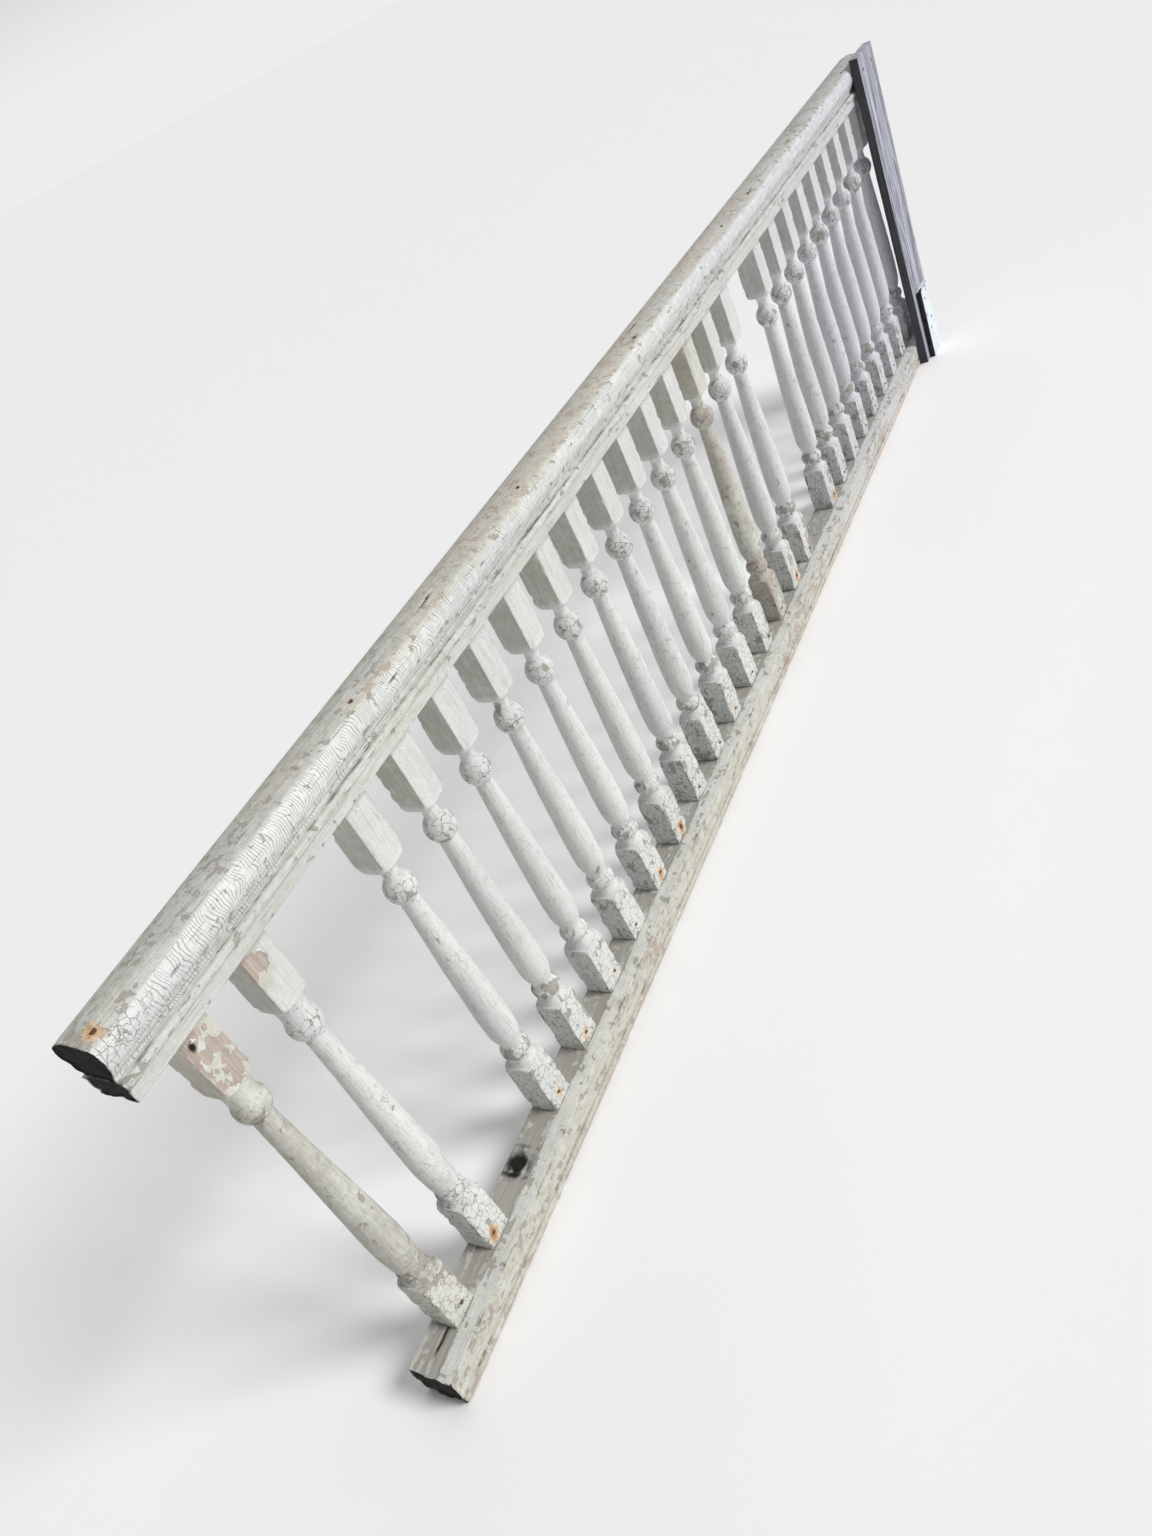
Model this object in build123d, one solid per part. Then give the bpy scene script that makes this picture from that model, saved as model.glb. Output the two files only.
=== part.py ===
from build123d import *
import math
import os

# A section of old wooden porch balustrade: a two-piece moulded handrail over a beaded bottom
# rail, turned balusters toe-nailed between them, and a rough board nailed flat to the far end.
# Millimetres. +X runs along the rails from the near end to the far end, -Y is the show side,
# +Z is up. The origin is on the underside of the bottom rail, mid-length, in the rails' centre
# plane.

# Driving dimensions: the layout along the rails
pitch = 114.3                 # from one baluster to the next
slot_count = 27
missing_slots = (3, 18)       # the balusters that have been lost
ringed_slots = (1, 2)         # these two are of the ringed pattern
near_margin = 69.0            # rails' near end to the first baluster's blank
far_margin = 55.0             # last baluster's blank to the rails' far end

# Balusters
blank = 50.0                  # side of the square stock
baluster_length = 665.0
foot_block = 95.0             # square foot, up to where its corners begin to turn
head_block = 104.0            # square head, down to where its corners begin to turn
ringed_head_block = 99.0
shaft_top_radius = 14.5
ringed_shaft_top_radius = 15.0
turning_margin = 0.5          # beads and bellies are turned to almost the full stock
back_margin = 0.5             # the blanks' backs to the rails' backs

# Turnings of the beaded pattern: radii, and heights above the foot block
beaded_neck = 19.0
ring_foot = 29.0
ring_top = 51.0
ring_edge = 1.5
belly_quirk = 17.5
belly_quirk_flare = 0.8
belly_foot = 60.0
belly_swell = 20.0            # from the belly's foot to where it is almost full
belly_ease = 1.0              # how far inside the full radius the swell still is there
belly_height = 105.0
# Places down from the head block
bead_drop = 86.0
bead_height = 43.0
thin_neck = 12.5
thin_neck_edge = 1.0
thin_neck_start = 3.0
thin_neck_end = 7.0
# The taper: share of the way from belly to bead, and how far in from the full radius
beaded_taper = ((0.284, 1.4), (0.6, 4.5), (0.855, 8.1))

# Turnings of the ringed pattern
ringed_neck = 20.5
ringed_step = 27.0
ringed_step_out = 2.5
ringed_step_height = 6.0
ringed_step_slope = 3.0
ringed_step_in = 0.5
ringed_waist = 1.2            # the waist over the step, outside the neck
ringed_waist_height = 15.0
ringed_belly_height = 88.0
flat_ring_drop = 70.0
flat_ring_height = 27.0
flat_ring_edge = 21.0
flat_ring_cove = 1.0
flat_ring_cove_height = 9.0
ringed_taper = ((0.192, 1.0), (0.415, 3.5), (0.655, 6.5))

# Shoulders between the square blocks and the turning
corner_margin = 0.6           # the turning starts this far outside the stock's corners
shoulder_in = 3.0             # a point on the shoulder's round, in from the corner
shoulder_rise = 7.0           # and along from the square
shoulder_edge = 1.0           # the round ends this far inside the full radius
shoulder_cove = 1.2           # the cove's middle, outside the neck
shoulder_cove_rise = 3.0

# Both rails
rail_width = 76.0             # the cap and the bottom rail, so that a board lies flat on both

# Bottom rail
bottom_rail_height = 64.0
wash_drop = 4.0               # fall of the sloped strip in front of the balusters
fascia_foot = 34.0            # height of the first quirk above the underside
rail_bead = 12.0              # bead width
quirk = 2.5                   # width and depth of the grooves beside the bead
arris = 3.0                   # eased lower edges

# Handrail: a sub-rail under a rounded cap
subrail_proud = 4.0           # the sub-rail's front, outside the cap's seat
subrail_height = 34.0
subrail_bead_start = 18.0     # bead's lower edge above the sub-rail's underside
subrail_bead_height = 13.0
subrail_bead_proud = 4.5
cap_height = 58.0
cap_shoulder = 21.0           # radius of the cap's rounded shoulders
cap_crown_radius = 70.0       # the flatter round of its top
cap_overhang = 7.0            # the round's reach outside the small step
cap_lip = 3.0                 # upright edge above the seat
cap_cove = 8.0
cap_fillet = 2.0              # small square step between cove and round

# End board and its foot cleat
board_width = 150.0
board_thickness = 23.0
board_rise = 12.0             # above the top of the cap
cleat_width = 85.0
cleat_height = 195.0
cleat_thickness = 15.0
cleat_inset = 30.0            # from the board's near edge
cleat_corner = 14.0

# Nails
toe_shank = 1.5
toe_head = 3.4
toe_length = 60.0             # at the foot
toe_cover = 3.0               # wood left over the points of the toe-nails at the head
toe_slope = 60.0              # degrees from level
toe_height = 21.0             # head's distance from the blank's end
toe_wander = 7.0              # how far the heads stray from the middle of the face
cap_nail_shank = 2.0
cap_nail_head = 4.0
cap_nail_cover = 11.0         # wood left under the cap nails' points
cap_nail_count = 7
cap_nail_end = 22.0           # from the near end, and from the board at the other
cap_nail_inset = 6.0          # behind the front edge of the cap's seat
board_nail_shank = 1.9
board_nail_head = 4.2
board_nail_length = 64.0
board_nail_spread = 84.0
cleat_nail_length = 34.0
head_thickness = 1.4
nail_fit = 0.08               # radial clearance of every nail in its hole
nail_taper = 4.0              # length of a point, in shank radii
nail_tip = 0.3                # radius of the blunt end of a point

# Worked out from the sizes above
rail_length = near_margin + (slot_count - 1) * pitch + blank + far_margin
near_end = -rail_length / 2
far_end = rail_length / 2
seat = bottom_rail_height                     # the balusters' feet
soffit = seat + baluster_length               # the sub-rail's underside
cap_base = soffit + subrail_height
cap_top = cap_base + cap_height
rail_back = rail_width / 2
full_radius = blank / 2 - turning_margin
corner = blank * math.sqrt(0.5) + corner_margin
baluster_setback = rail_back - back_margin - blank / 2
blank_front = baluster_setback - blank / 2
blank_back = baluster_setback + blank / 2
seat_half = rail_width / 2 - cap_overhang - cap_cove + cap_fillet
cap_nail_front = seat_half - cap_nail_inset
slots = [n for n in range(1, slot_count + 1) if n not in missing_slots]


def slot_x(slot):
    """Centre of a baluster's place along the rails."""
    return near_end + near_margin + blank / 2 + (slot - 1) * pitch


def along_rail(outline):
    """Runs a section, drawn across the rails, along their whole length."""
    section = Plane.YZ * outline
    return Pos(near_end, 0, 0) * extrude(section, rail_length, dir=(1, 0, 0))


def nail(shank, head, length, grow=0.0):
    """A nail standing on its point: +Z leaves its head, whose top is at the origin."""
    point = nail_taper * shank
    body_length = length - point
    r = shank + grow
    body = Pos(0, 0, -body_length / 2) * Cylinder(r, body_length)
    tip = Pos(0, 0, -body_length - point / 2) * Cone(r, nail_tip + grow, point)
    disc = head_thickness + grow
    shape = body + tip + Pos(0, 0, -disc / 2) * Cylinder(head + grow, disc)
    if grow:
        shape += Pos(0, 0, head) * Cylinder(head + grow, 2 * head)
    return shape


def aim(point, out):
    """A place for a nail: its head at point, leaving the wood along out."""
    return Plane(origin=point, z_dir=out).location


# Places of the nails
slope = math.radians(toe_slope)
foot_wave = 2.4               # radians of wander from one slot to the next
head_wave = -1.7
head_toe_length = (toe_height + subrail_height - toe_cover) / math.sin(slope)


def toe_x(slot, wave):
    """A toe-nail's place along the rails, which strays from the blank's middle."""
    return slot_x(slot) + toe_wander * math.sin(wave * slot)


def foot_toe(slot):
    """A nail driven down and back through the foot."""
    out = (0, -math.cos(slope), math.sin(slope))
    return aim((toe_x(slot, foot_wave), blank_front, seat + toe_height), out)


def head_toe(slot):
    """A nail driven up and back through the head."""
    out = (0, -math.cos(slope), -math.sin(slope))
    return aim((toe_x(slot, head_wave), blank_front, soffit - toe_height), out)


# The cap's round: two shoulder arcs tangent to one wide arc over the top
shoulder_centre = rail_width / 2 - cap_shoulder
crown_half = math.asin(shoulder_centre / (cap_crown_radius - cap_shoulder))
crown_centre = cap_top - cap_crown_radius
widest = crown_centre + (cap_crown_radius - cap_shoulder) * math.cos(crown_half)
crown_edge = cap_crown_radius * math.sin(crown_half)
crown_edge_height = crown_centre + cap_crown_radius * math.cos(crown_half)


def crown_at(y):
    """Height of the crown's wide arc at a distance from the centre plane."""
    return crown_centre + math.sqrt(cap_crown_radius ** 2 - y ** 2)


board_near = far_end - board_width
board_back = -rail_width / 2

cap_nail_top = crown_at(cap_nail_front)
cap_nail_length = cap_nail_top - soffit - cap_nail_cover
cap_nail_start = near_end + cap_nail_end
cap_nail_pitch = (board_near - cap_nail_end - cap_nail_start) / (cap_nail_count - 1)
cap_nail_places = [
    aim((cap_nail_start + i * cap_nail_pitch, -cap_nail_front, cap_nail_top), (0, 0, 1))
    for i in range(cap_nail_count)
]

board_front = board_back - board_thickness
board_middle = board_near + board_width / 2
board_nail_places = [
    aim((board_middle + side * board_nail_spread / 2, board_front, z), (0, -1, 0))
    for side in (-1, 1)
    for z in ((fascia_foot + seat - wash_drop) / 2, widest)
]

cleat_near = board_near + cleat_inset
cleat_front = board_front - cleat_thickness
cleat_nail_places = [
    aim((cleat_near + cleat_width * u, cleat_front, cleat_height * v), (0, -1, 0))
    for u, v in ((0.3, 0.86), (0.62, 0.52), (0.35, 0.4))
]


def nails(places, *sizes, grow=0.0):
    one = nail(*sizes, grow=grow)
    return [place * one for place in places]


foot_toe_sizes = (toe_shank, toe_head, toe_length)
head_toe_sizes = (toe_shank, toe_head, head_toe_length)
cap_nail_sizes = (cap_nail_shank, cap_nail_head, cap_nail_length)
board_nail_sizes = (board_nail_shank, board_nail_head, board_nail_length)
cleat_nail_sizes = (board_nail_shank, board_nail_head, cleat_nail_length)
foot_toes = {slot: foot_toe(slot) for slot in slots}
head_toes = {slot: head_toe(slot) for slot in slots}


def bottom_rail():
    """Flat under the balusters, washed in front, beaded fascia, plain back."""
    front = -rail_width / 2
    back = rail_back
    bead_top = fascia_foot - quirk
    bead_foot = bead_top - rail_bead
    with BuildSketch() as outline:
        with BuildLine():
            Polyline(
                (front + arris, 0), (back - arris, 0), (back, arris), (back, seat - arris / 2),
                (back - arris / 2, seat), (blank_front, seat), (front, seat - wash_drop),
                (front, fascia_foot), (front + quirk, fascia_foot), (front + quirk, bead_top),
            )
            ThreePointArc(
                (front + quirk, bead_top), (front, bead_top - rail_bead / 2), (front + quirk, bead_foot)
            )
            Polyline(
                (front + quirk, bead_foot), (front + quirk, bead_foot - quirk),
                (front, bead_foot - quirk), (front, arris), (front + arris, 0),
            )
        make_face()
    rail = along_rail(outline.sketch)
    rail -= nails(foot_toes.values(), *foot_toe_sizes, grow=nail_fit)
    lower = [place for place in board_nail_places if place.position.Z < soffit]
    return rail - nails(lower, *board_nail_sizes, grow=nail_fit)


def sub_rail():
    """A bead worked along the front near its top, and a plain back flush with the balusters."""
    front = -seat_half - subrail_proud
    bead_foot = soffit + subrail_bead_start
    bead_top = bead_foot + subrail_bead_height
    with BuildSketch() as outline:
        with BuildLine():
            Polyline((blank_back, bead_top), (blank_back, soffit), (front, soffit), (front, bead_foot))
            bead_face = (front - subrail_bead_proud, (bead_foot + bead_top) / 2)
            ThreePointArc((front, bead_foot), bead_face, (front, bead_top))
            Polyline(
                (front, bead_top), (-seat_half, bead_top), (-seat_half, cap_base),
                (seat_half, cap_base), (seat_half, bead_top), (blank_back, bead_top),
            )
        make_face()
    rail = along_rail(outline.sketch)
    rail -= nails(head_toes.values(), *head_toe_sizes, grow=nail_fit)
    return rail - nails(cap_nail_places, *cap_nail_sizes, grow=nail_fit)


def cap_rail():
    """A flattened round over a small step and a cove on each side."""
    half = rail_width / 2
    cove_foot = cap_base + cap_lip
    step_side = half - cap_overhang
    step_foot = cove_foot + cap_cove
    step_top = step_foot + cap_fillet
    with BuildSketch() as outline:
        with BuildLine() as line:
            Polyline((0, cap_base), (seat_half, cap_base), (seat_half, cove_foot))
            TangentArc((seat_half, cove_foot), (step_side, step_foot), tangent=(0, 1))
            Line((step_side, step_foot), (step_side, step_top))
            TangentArc((half, widest), (step_side, step_top), tangent=(0, -1))
            TangentArc((half, widest), (crown_edge, crown_edge_height), tangent=(0, 1))
            TangentArc((0, cap_top), (crown_edge, crown_edge_height), tangent=(1, 0))
            mirror(line.line, about=Plane.YZ)
        make_face()
    rail = along_rail(outline.sketch)
    rail -= nails(cap_nail_places, *cap_nail_sizes, grow=nail_fit)
    upper = [place for place in board_nail_places if place.position.Z > soffit]
    return rail - nails(upper, *board_nail_sizes, grow=nail_fit)


def turned(draw):
    """Turns a half outline about the blank's axis and keeps what the square stock allows."""
    with BuildSketch(Plane.XZ) as outline:
        with BuildLine():
            draw()
        make_face()
    stock = Box(blank, blank, baluster_length, align=(Align.CENTER, Align.CENTER, Align.MIN))
    return revolve(outline.sketch, Axis.Z) & stock


def shoulder(square, inward, neck, neck_height):
    """A round from a square block's corners, then a cove down to a neck. inward is 1 or -1."""
    middle = (square + neck_height) / 2
    edge = (full_radius - shoulder_edge, middle)
    rounded = (corner - shoulder_in, square + inward * shoulder_rise)
    hollow = (neck + shoulder_cove, middle + inward * shoulder_cove_rise)
    ThreePointArc((corner, square), rounded, edge)
    ThreePointArc(edge, hollow, (neck, neck_height))


def square_ends(head_start):
    """The outline's straight sides: the head block, the axis and the foot block."""
    Polyline(
        (corner, head_start), (corner, baluster_length), (0, baluster_length), (0, 0), (corner, 0),
        (corner, foot_block),
    )


def taper(steps, low, high):
    """Points of a shaft between two heights, from shares of the way and cuts from the full radius."""
    return [(full_radius - cut, low + share * (high - low)) for share, cut in steps]


def beaded_outline():
    """Ring and belly low down, a long taper, and a ball bead under the head."""
    head_start = baluster_length - head_block
    low, high = foot_block + ring_foot, foot_block + ring_top
    belly = foot_block + belly_height
    bead_low = head_start - bead_drop
    bead_high = bead_low + bead_height
    neck_out = thin_neck + thin_neck_edge
    quirk_out = belly_quirk + belly_quirk_flare
    shoulder(foot_block, 1, beaded_neck, low)
    Line((beaded_neck, low), (beaded_neck + ring_edge, low))
    ThreePointArc((beaded_neck + ring_edge, low), (full_radius, (low + high) / 2), (beaded_neck, high))
    belly_start = foot_block + belly_foot
    ThreePointArc((beaded_neck, high), (belly_quirk, (high + belly_start) / 2), (quirk_out, belly_start))
    Spline(
        (quirk_out, belly_start), (full_radius - belly_ease, belly_start + belly_swell),
        (full_radius, belly),
        *taper(beaded_taper, belly, bead_low), (shaft_top_radius, bead_low),
    )
    bead_face = (full_radius, (bead_low + bead_high) / 2)
    ThreePointArc((shaft_top_radius, bead_low), bead_face, (neck_out, bead_high))
    Polyline(
        (neck_out, bead_high), (thin_neck, bead_high + thin_neck_start),
        (thin_neck, bead_high + thin_neck_end),
    )
    shoulder(head_start, -1, thin_neck, bead_high + thin_neck_end)
    square_ends(head_start)


def ringed_outline():
    """A stepped foot, a full belly, and a flat ring with a short cove under the head."""
    head_start = baluster_length - ringed_head_block
    step = foot_block + ringed_step
    waist = step + ringed_step_height + ringed_step_slope
    belly = foot_block + ringed_belly_height
    ring_low = head_start - flat_ring_drop
    ring_high = ring_low + flat_ring_height
    step_out, step_in = ringed_neck + ringed_step_out, ringed_neck - ringed_step_in
    shoulder(foot_block, 1, ringed_neck, step)
    Polyline((ringed_neck, step), (step_out, step), (step_out, step + ringed_step_height), (step_in, waist))
    Spline(
        (step_in, waist), (ringed_neck + ringed_waist, waist + ringed_waist_height), (full_radius, belly),
        *taper(ringed_taper, belly, ring_low), (ringed_shaft_top_radius, ring_low),
    )
    Line((ringed_shaft_top_radius, ring_low), (flat_ring_edge, ring_low))
    ring_face = (full_radius, (ring_low + ring_high) / 2)
    ThreePointArc((flat_ring_edge, ring_low), ring_face, (flat_ring_edge, ring_high))
    hollow = (flat_ring_edge - flat_ring_cove, ring_high + flat_ring_cove_height)
    full = (full_radius - shoulder_edge, (ring_high + head_start) / 2 + shoulder_rise)
    ThreePointArc((flat_ring_edge, ring_high), hollow, full)
    ThreePointArc(full, (corner - shoulder_in, head_start - shoulder_rise), (corner, head_start))
    square_ends(head_start)


patterns = {False: turned(beaded_outline), True: turned(ringed_outline)}


def baluster(slot):
    """The slot's pattern, in place, with its two toe-nail holes."""
    shape = Pos(slot_x(slot), baluster_setback, seat) * patterns[slot in ringed_slots]
    shape -= nails([foot_toes[slot]], *foot_toe_sizes, grow=nail_fit)
    return shape - nails([head_toes[slot]], *head_toe_sizes, grow=nail_fit)


def end_board():
    """A plain board, flush with the rails' far end and the bottom rail's underside."""
    height = cap_top + board_rise
    board = Pos(board_middle, board_back - board_thickness / 2, height / 2) * Box(
        board_width, board_thickness, height
    )
    board -= nails(board_nail_places, *board_nail_sizes, grow=nail_fit)
    return board - nails(cleat_nail_places, *cleat_nail_sizes, grow=nail_fit)


def foot_cleat():
    """A painted block on the board's foot, with its far lower corner rounded."""
    cleat = Pos(cleat_near + cleat_width / 2, cleat_front + cleat_thickness / 2, cleat_height / 2) * Box(
        cleat_width, cleat_thickness, cleat_height
    )
    lower_far = cleat.edges().filter_by(Axis.Y).sort_by(Axis.Z)[:2].sort_by(Axis.X)[-1]
    cleat = fillet(lower_far, cleat_corner)
    return cleat - nails(cleat_nail_places, *cleat_nail_sizes, grow=nail_fit)


nodes = {
    "bottom_rail": bottom_rail(),
    "sub_rail": sub_rail(),
    "cap_rail": cap_rail(),
    "foot_toe_nails": Compound(children=nails(foot_toes.values(), *foot_toe_sizes)),
    "head_toe_nails": Compound(children=nails(head_toes.values(), *head_toe_sizes)),
    "cap_nails": Compound(children=nails(cap_nail_places, *cap_nail_sizes)),
    "end_board": end_board(),
    "end_board_nails": Compound(children=nails(board_nail_places, *board_nail_sizes)),
    "foot_cleat": foot_cleat(),
    "foot_cleat_nails": Compound(children=nails(cleat_nail_places, *cleat_nail_sizes)),
}
for slot in slots:
    nodes[f"baluster_{slot:02d}"] = baluster(slot)

os.makedirs("parts", exist_ok=True)
for name, shape in nodes.items():
    export_step(shape, f"parts/{name}.step")
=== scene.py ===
import math

import bpy
import numpy as np
from bpy.props import FloatProperty, FloatVectorProperty, IntProperty, PointerProperty
from mathutils import Matrix, Vector


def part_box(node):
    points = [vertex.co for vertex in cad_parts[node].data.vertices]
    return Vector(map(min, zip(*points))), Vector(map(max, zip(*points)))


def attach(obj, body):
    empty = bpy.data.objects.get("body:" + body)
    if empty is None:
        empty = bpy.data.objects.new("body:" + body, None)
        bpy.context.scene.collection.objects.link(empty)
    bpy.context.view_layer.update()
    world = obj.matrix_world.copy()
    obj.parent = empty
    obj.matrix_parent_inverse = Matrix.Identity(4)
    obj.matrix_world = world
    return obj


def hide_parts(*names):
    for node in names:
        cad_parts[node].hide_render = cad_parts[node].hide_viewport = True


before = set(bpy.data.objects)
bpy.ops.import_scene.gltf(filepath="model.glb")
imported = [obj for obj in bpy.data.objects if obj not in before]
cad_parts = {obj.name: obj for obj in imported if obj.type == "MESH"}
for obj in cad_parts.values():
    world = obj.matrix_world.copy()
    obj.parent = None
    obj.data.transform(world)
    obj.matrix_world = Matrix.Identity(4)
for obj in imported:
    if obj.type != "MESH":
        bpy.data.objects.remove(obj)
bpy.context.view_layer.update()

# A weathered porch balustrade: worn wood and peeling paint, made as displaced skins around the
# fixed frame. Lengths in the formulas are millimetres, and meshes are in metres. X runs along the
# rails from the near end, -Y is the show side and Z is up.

bl_info = {
    "name": "Porch balustrade",
    "version": (1, 0, 0),
    "blender": (4, 5, 0),
    "location": "3D View > Sidebar > Porch",
    "description": "Weathered wood and peeling paint for a turned porch balustrade",
    "category": "Add Mesh",
}

MM = 0.001
ROOT = "root"
SHARP = math.radians(38)    # edges that turn more than this are shaded sharp


def node_box(node):
    """A node's lowest and highest corners in millimetres."""
    low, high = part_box(node)
    return np.array(low) / MM, np.array(high) / MM


RAIL_LOW, RAIL_HIGH = node_box("bottom_rail")
SUB_LOW, SUB_HIGH = node_box("sub_rail")
CAP_LOW, CAP_HIGH = node_box("cap_rail")
BOARD_LOW, BOARD_HIGH = node_box("end_board")
CLEAT_LOW, CLEAT_HIGH = node_box("foot_cleat")
SLOTS = sorted(int(name[-2:]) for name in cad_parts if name.startswith("baluster_"))
FIRST_LOW, FIRST_HIGH = node_box("baluster_01")
BLANK = FIRST_HIGH[0] - FIRST_LOW[0]
SEAT = FIRST_LOW[2]
SOFFIT = FIRST_HIGH[2]
BLANK_FRONT = FIRST_LOW[1]
PITCH = node_box("baluster_02")[0][0] - FIRST_LOW[0]
NEAR = RAIL_LOW[0]
RINGED = (1, 2)
LOST = (3, 18)


# Random fields, the same every run


def scatter(cell, seed):
    """A number from 0 to 1 for each cell: its three whole numbers mixed by multiply and shift."""
    whole = cell.astype(np.int64).astype(np.uint32)
    mixed = whole[..., 0] * np.uint32(374761393) + whole[..., 1] * np.uint32(668265263)
    mixed += whole[..., 2] * np.uint32(2147483647 - 5) + np.uint32(seed * 7919 + 17)
    mixed = (mixed ^ (mixed >> np.uint32(13))) * np.uint32(1274126177)
    mixed = (mixed ^ (mixed >> np.uint32(15))) * np.uint32(2246822519)
    mixed = mixed ^ (mixed >> np.uint32(16))
    return (mixed & np.uint32(0xFFFFFF)) / float(0xFFFFFF)


def cloud(points, size, seed, octaves=3):
    """Value noise from 0 to 1.

    Random numbers at the corners of a grid of the given size, blended by 3t^2 - 2t^3. Each octave
    halves the grid and the share.
    """
    total, weight = 0.0, 0.0
    for octave in range(octaves):
        place = points / np.asarray(size, float) * 2**octave + 11.3 * octave
        base = np.floor(place)
        part = place - base
        part = part * part * (3 - 2 * part)
        value = 0.0
        for corner in np.ndindex(2, 2, 2):
            share = np.where(np.array(corner) == 1, part, 1 - part).prod(axis=-1)
            value += share * scatter(base + corner, seed + 31 * octave)
        total += value / 2**octave
        weight += 1 / 2**octave
    return total / weight


def flakes(points, size, seed):
    """Distance to the second nearest scattered centre less that to the nearest: 0 at a border."""
    place = points / np.asarray(size, float)
    base = np.floor(place)
    nearest = np.full(place.shape[:-1], 9.0)
    second = nearest.copy()
    for offset in np.ndindex(3, 3, 3):
        cell = base + np.array(offset) - 1
        centre = cell + np.stack([scatter(cell, seed + k) for k in (1, 2, 3)], axis=-1)
        gap = np.linalg.norm(place - centre, axis=-1)
        second = np.minimum(second, np.maximum(nearest, gap))
        nearest = np.minimum(nearest, gap)
    return second - nearest


def band(value, low, high):
    """0 below low, 1 above high and 3t^2 - 2t^3 between them."""
    t = np.clip((value - low) / (high - low), 0, 1)
    return t * t * (3 - 2 * t)


def bump(value, centre, width):
    """A bell, exp(-t^2), round centre."""
    return np.exp(-(((value - centre) / width) ** 2))


# Outlines and skins


def arc(start, middle, end, count=9):
    """Points on the circle through three points, its centre found from their complex ratio."""
    a, b, c = (complex(*point) for point in (start, middle, end))
    ratio = (c - a) / (b - a)
    centre = a + (b - a) * (ratio - abs(ratio) ** 2) / (2j * ratio.imag)
    sweep = np.angle((b - centre) / (a - centre)) + np.angle((c - centre) / (b - centre))
    turned = centre + (a - centre) * np.exp(1j * np.linspace(0, sweep, count))
    return list(zip(turned.real, turned.imag))


def tangent_arc(start, heading, end, count=9):
    """Points on the circle that leaves start along heading and ends at end."""
    a, c = complex(*start), complex(*end)
    along = complex(*heading)
    turn = np.angle((c - a) / along)
    middle = a + (c - a) / 2 + 1j * (a - c) / 2 * math.tan(turn / 2)
    return arc(start, (middle.real, middle.imag), end, count)


def divided(points, spacing):
    """The same line with each run cut into equal steps no longer than spacing. Corners stay."""
    points = np.asarray(points, float)
    points = points[np.r_[True, np.linalg.norm(np.diff(points, axis=0), axis=1) > 1e-6]]
    runs = np.linalg.norm(np.diff(points, axis=0), axis=1)
    counts = np.maximum(1, np.ceil(runs / spacing)).astype(int)
    stations = [i + np.arange(n) / n for i, n in enumerate(counts)]
    stations = np.concatenate([*stations, [len(runs)]])
    index = np.arange(len(points))
    return np.stack([np.interp(stations, index, points[:, k]) for k in (0, 1)], axis=-1)


def hermite(heights, knots, radii):
    """The cubic through knots whose slopes are the knots' own finite differences."""
    slopes = np.gradient(radii, knots)
    i = np.clip(np.searchsorted(knots, heights, side="right") - 1, 0, len(knots) - 2)
    step = knots[i + 1] - knots[i]
    t = (heights - knots[i]) / step
    start = (1 + 2 * t) * (1 - t) ** 2 * radii[i] + t * (1 - t) ** 2 * step * slopes[i]
    return start + t * t * (3 - 2 * t) * radii[i + 1] + t * t * (t - 1) * step * slopes[i + 1]


def normals_of(rings):
    """Unit normals of closed rings: the cross product of central differences along and across."""
    along = np.gradient(rings, axis=0)
    across = np.roll(rings, -1, axis=1) - np.roll(rings, 1, axis=1)
    normal = np.cross(along, across)
    normal /= np.linalg.norm(normal, axis=-1, keepdims=True) + 1e-12
    outward = ((rings - rings.mean(axis=1, keepdims=True)) * normal).sum()
    return normal if outward > 0 else -normal


LID_SHARES = (0.94, 0.8, 0.6, 0.38, 0.15)


def closed(rings, axis, roughness, seed):
    """Adds shrunken rings over both ends, roughened inwards, so that the skin closes there."""
    lids = []
    for ring, inward in ((rings[0], 1.0), (rings[-1], -1.0)):
        middle = ring.mean(axis=0)
        steps = np.stack([middle + (ring - middle) * share for share in LID_SHARES])
        steps[..., axis] += inward * roughness * cloud(steps, (7, 7, 7), seed)
        lids.append(steps)
    return np.concatenate([lids[0][::-1], rings, lids[1]])


def ring_faces(rows, columns):
    """Four corners of each face between neighbouring closed rings, numbered ring by ring."""
    column = np.arange(columns)
    following = np.roll(column, -1)
    low = np.arange(rows - 1)[:, None] * columns
    high = low + columns
    quads = np.stack([low + column, low + following, high + following, high + column], -1)
    return quads.reshape(-1, 4), column, following


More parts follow.
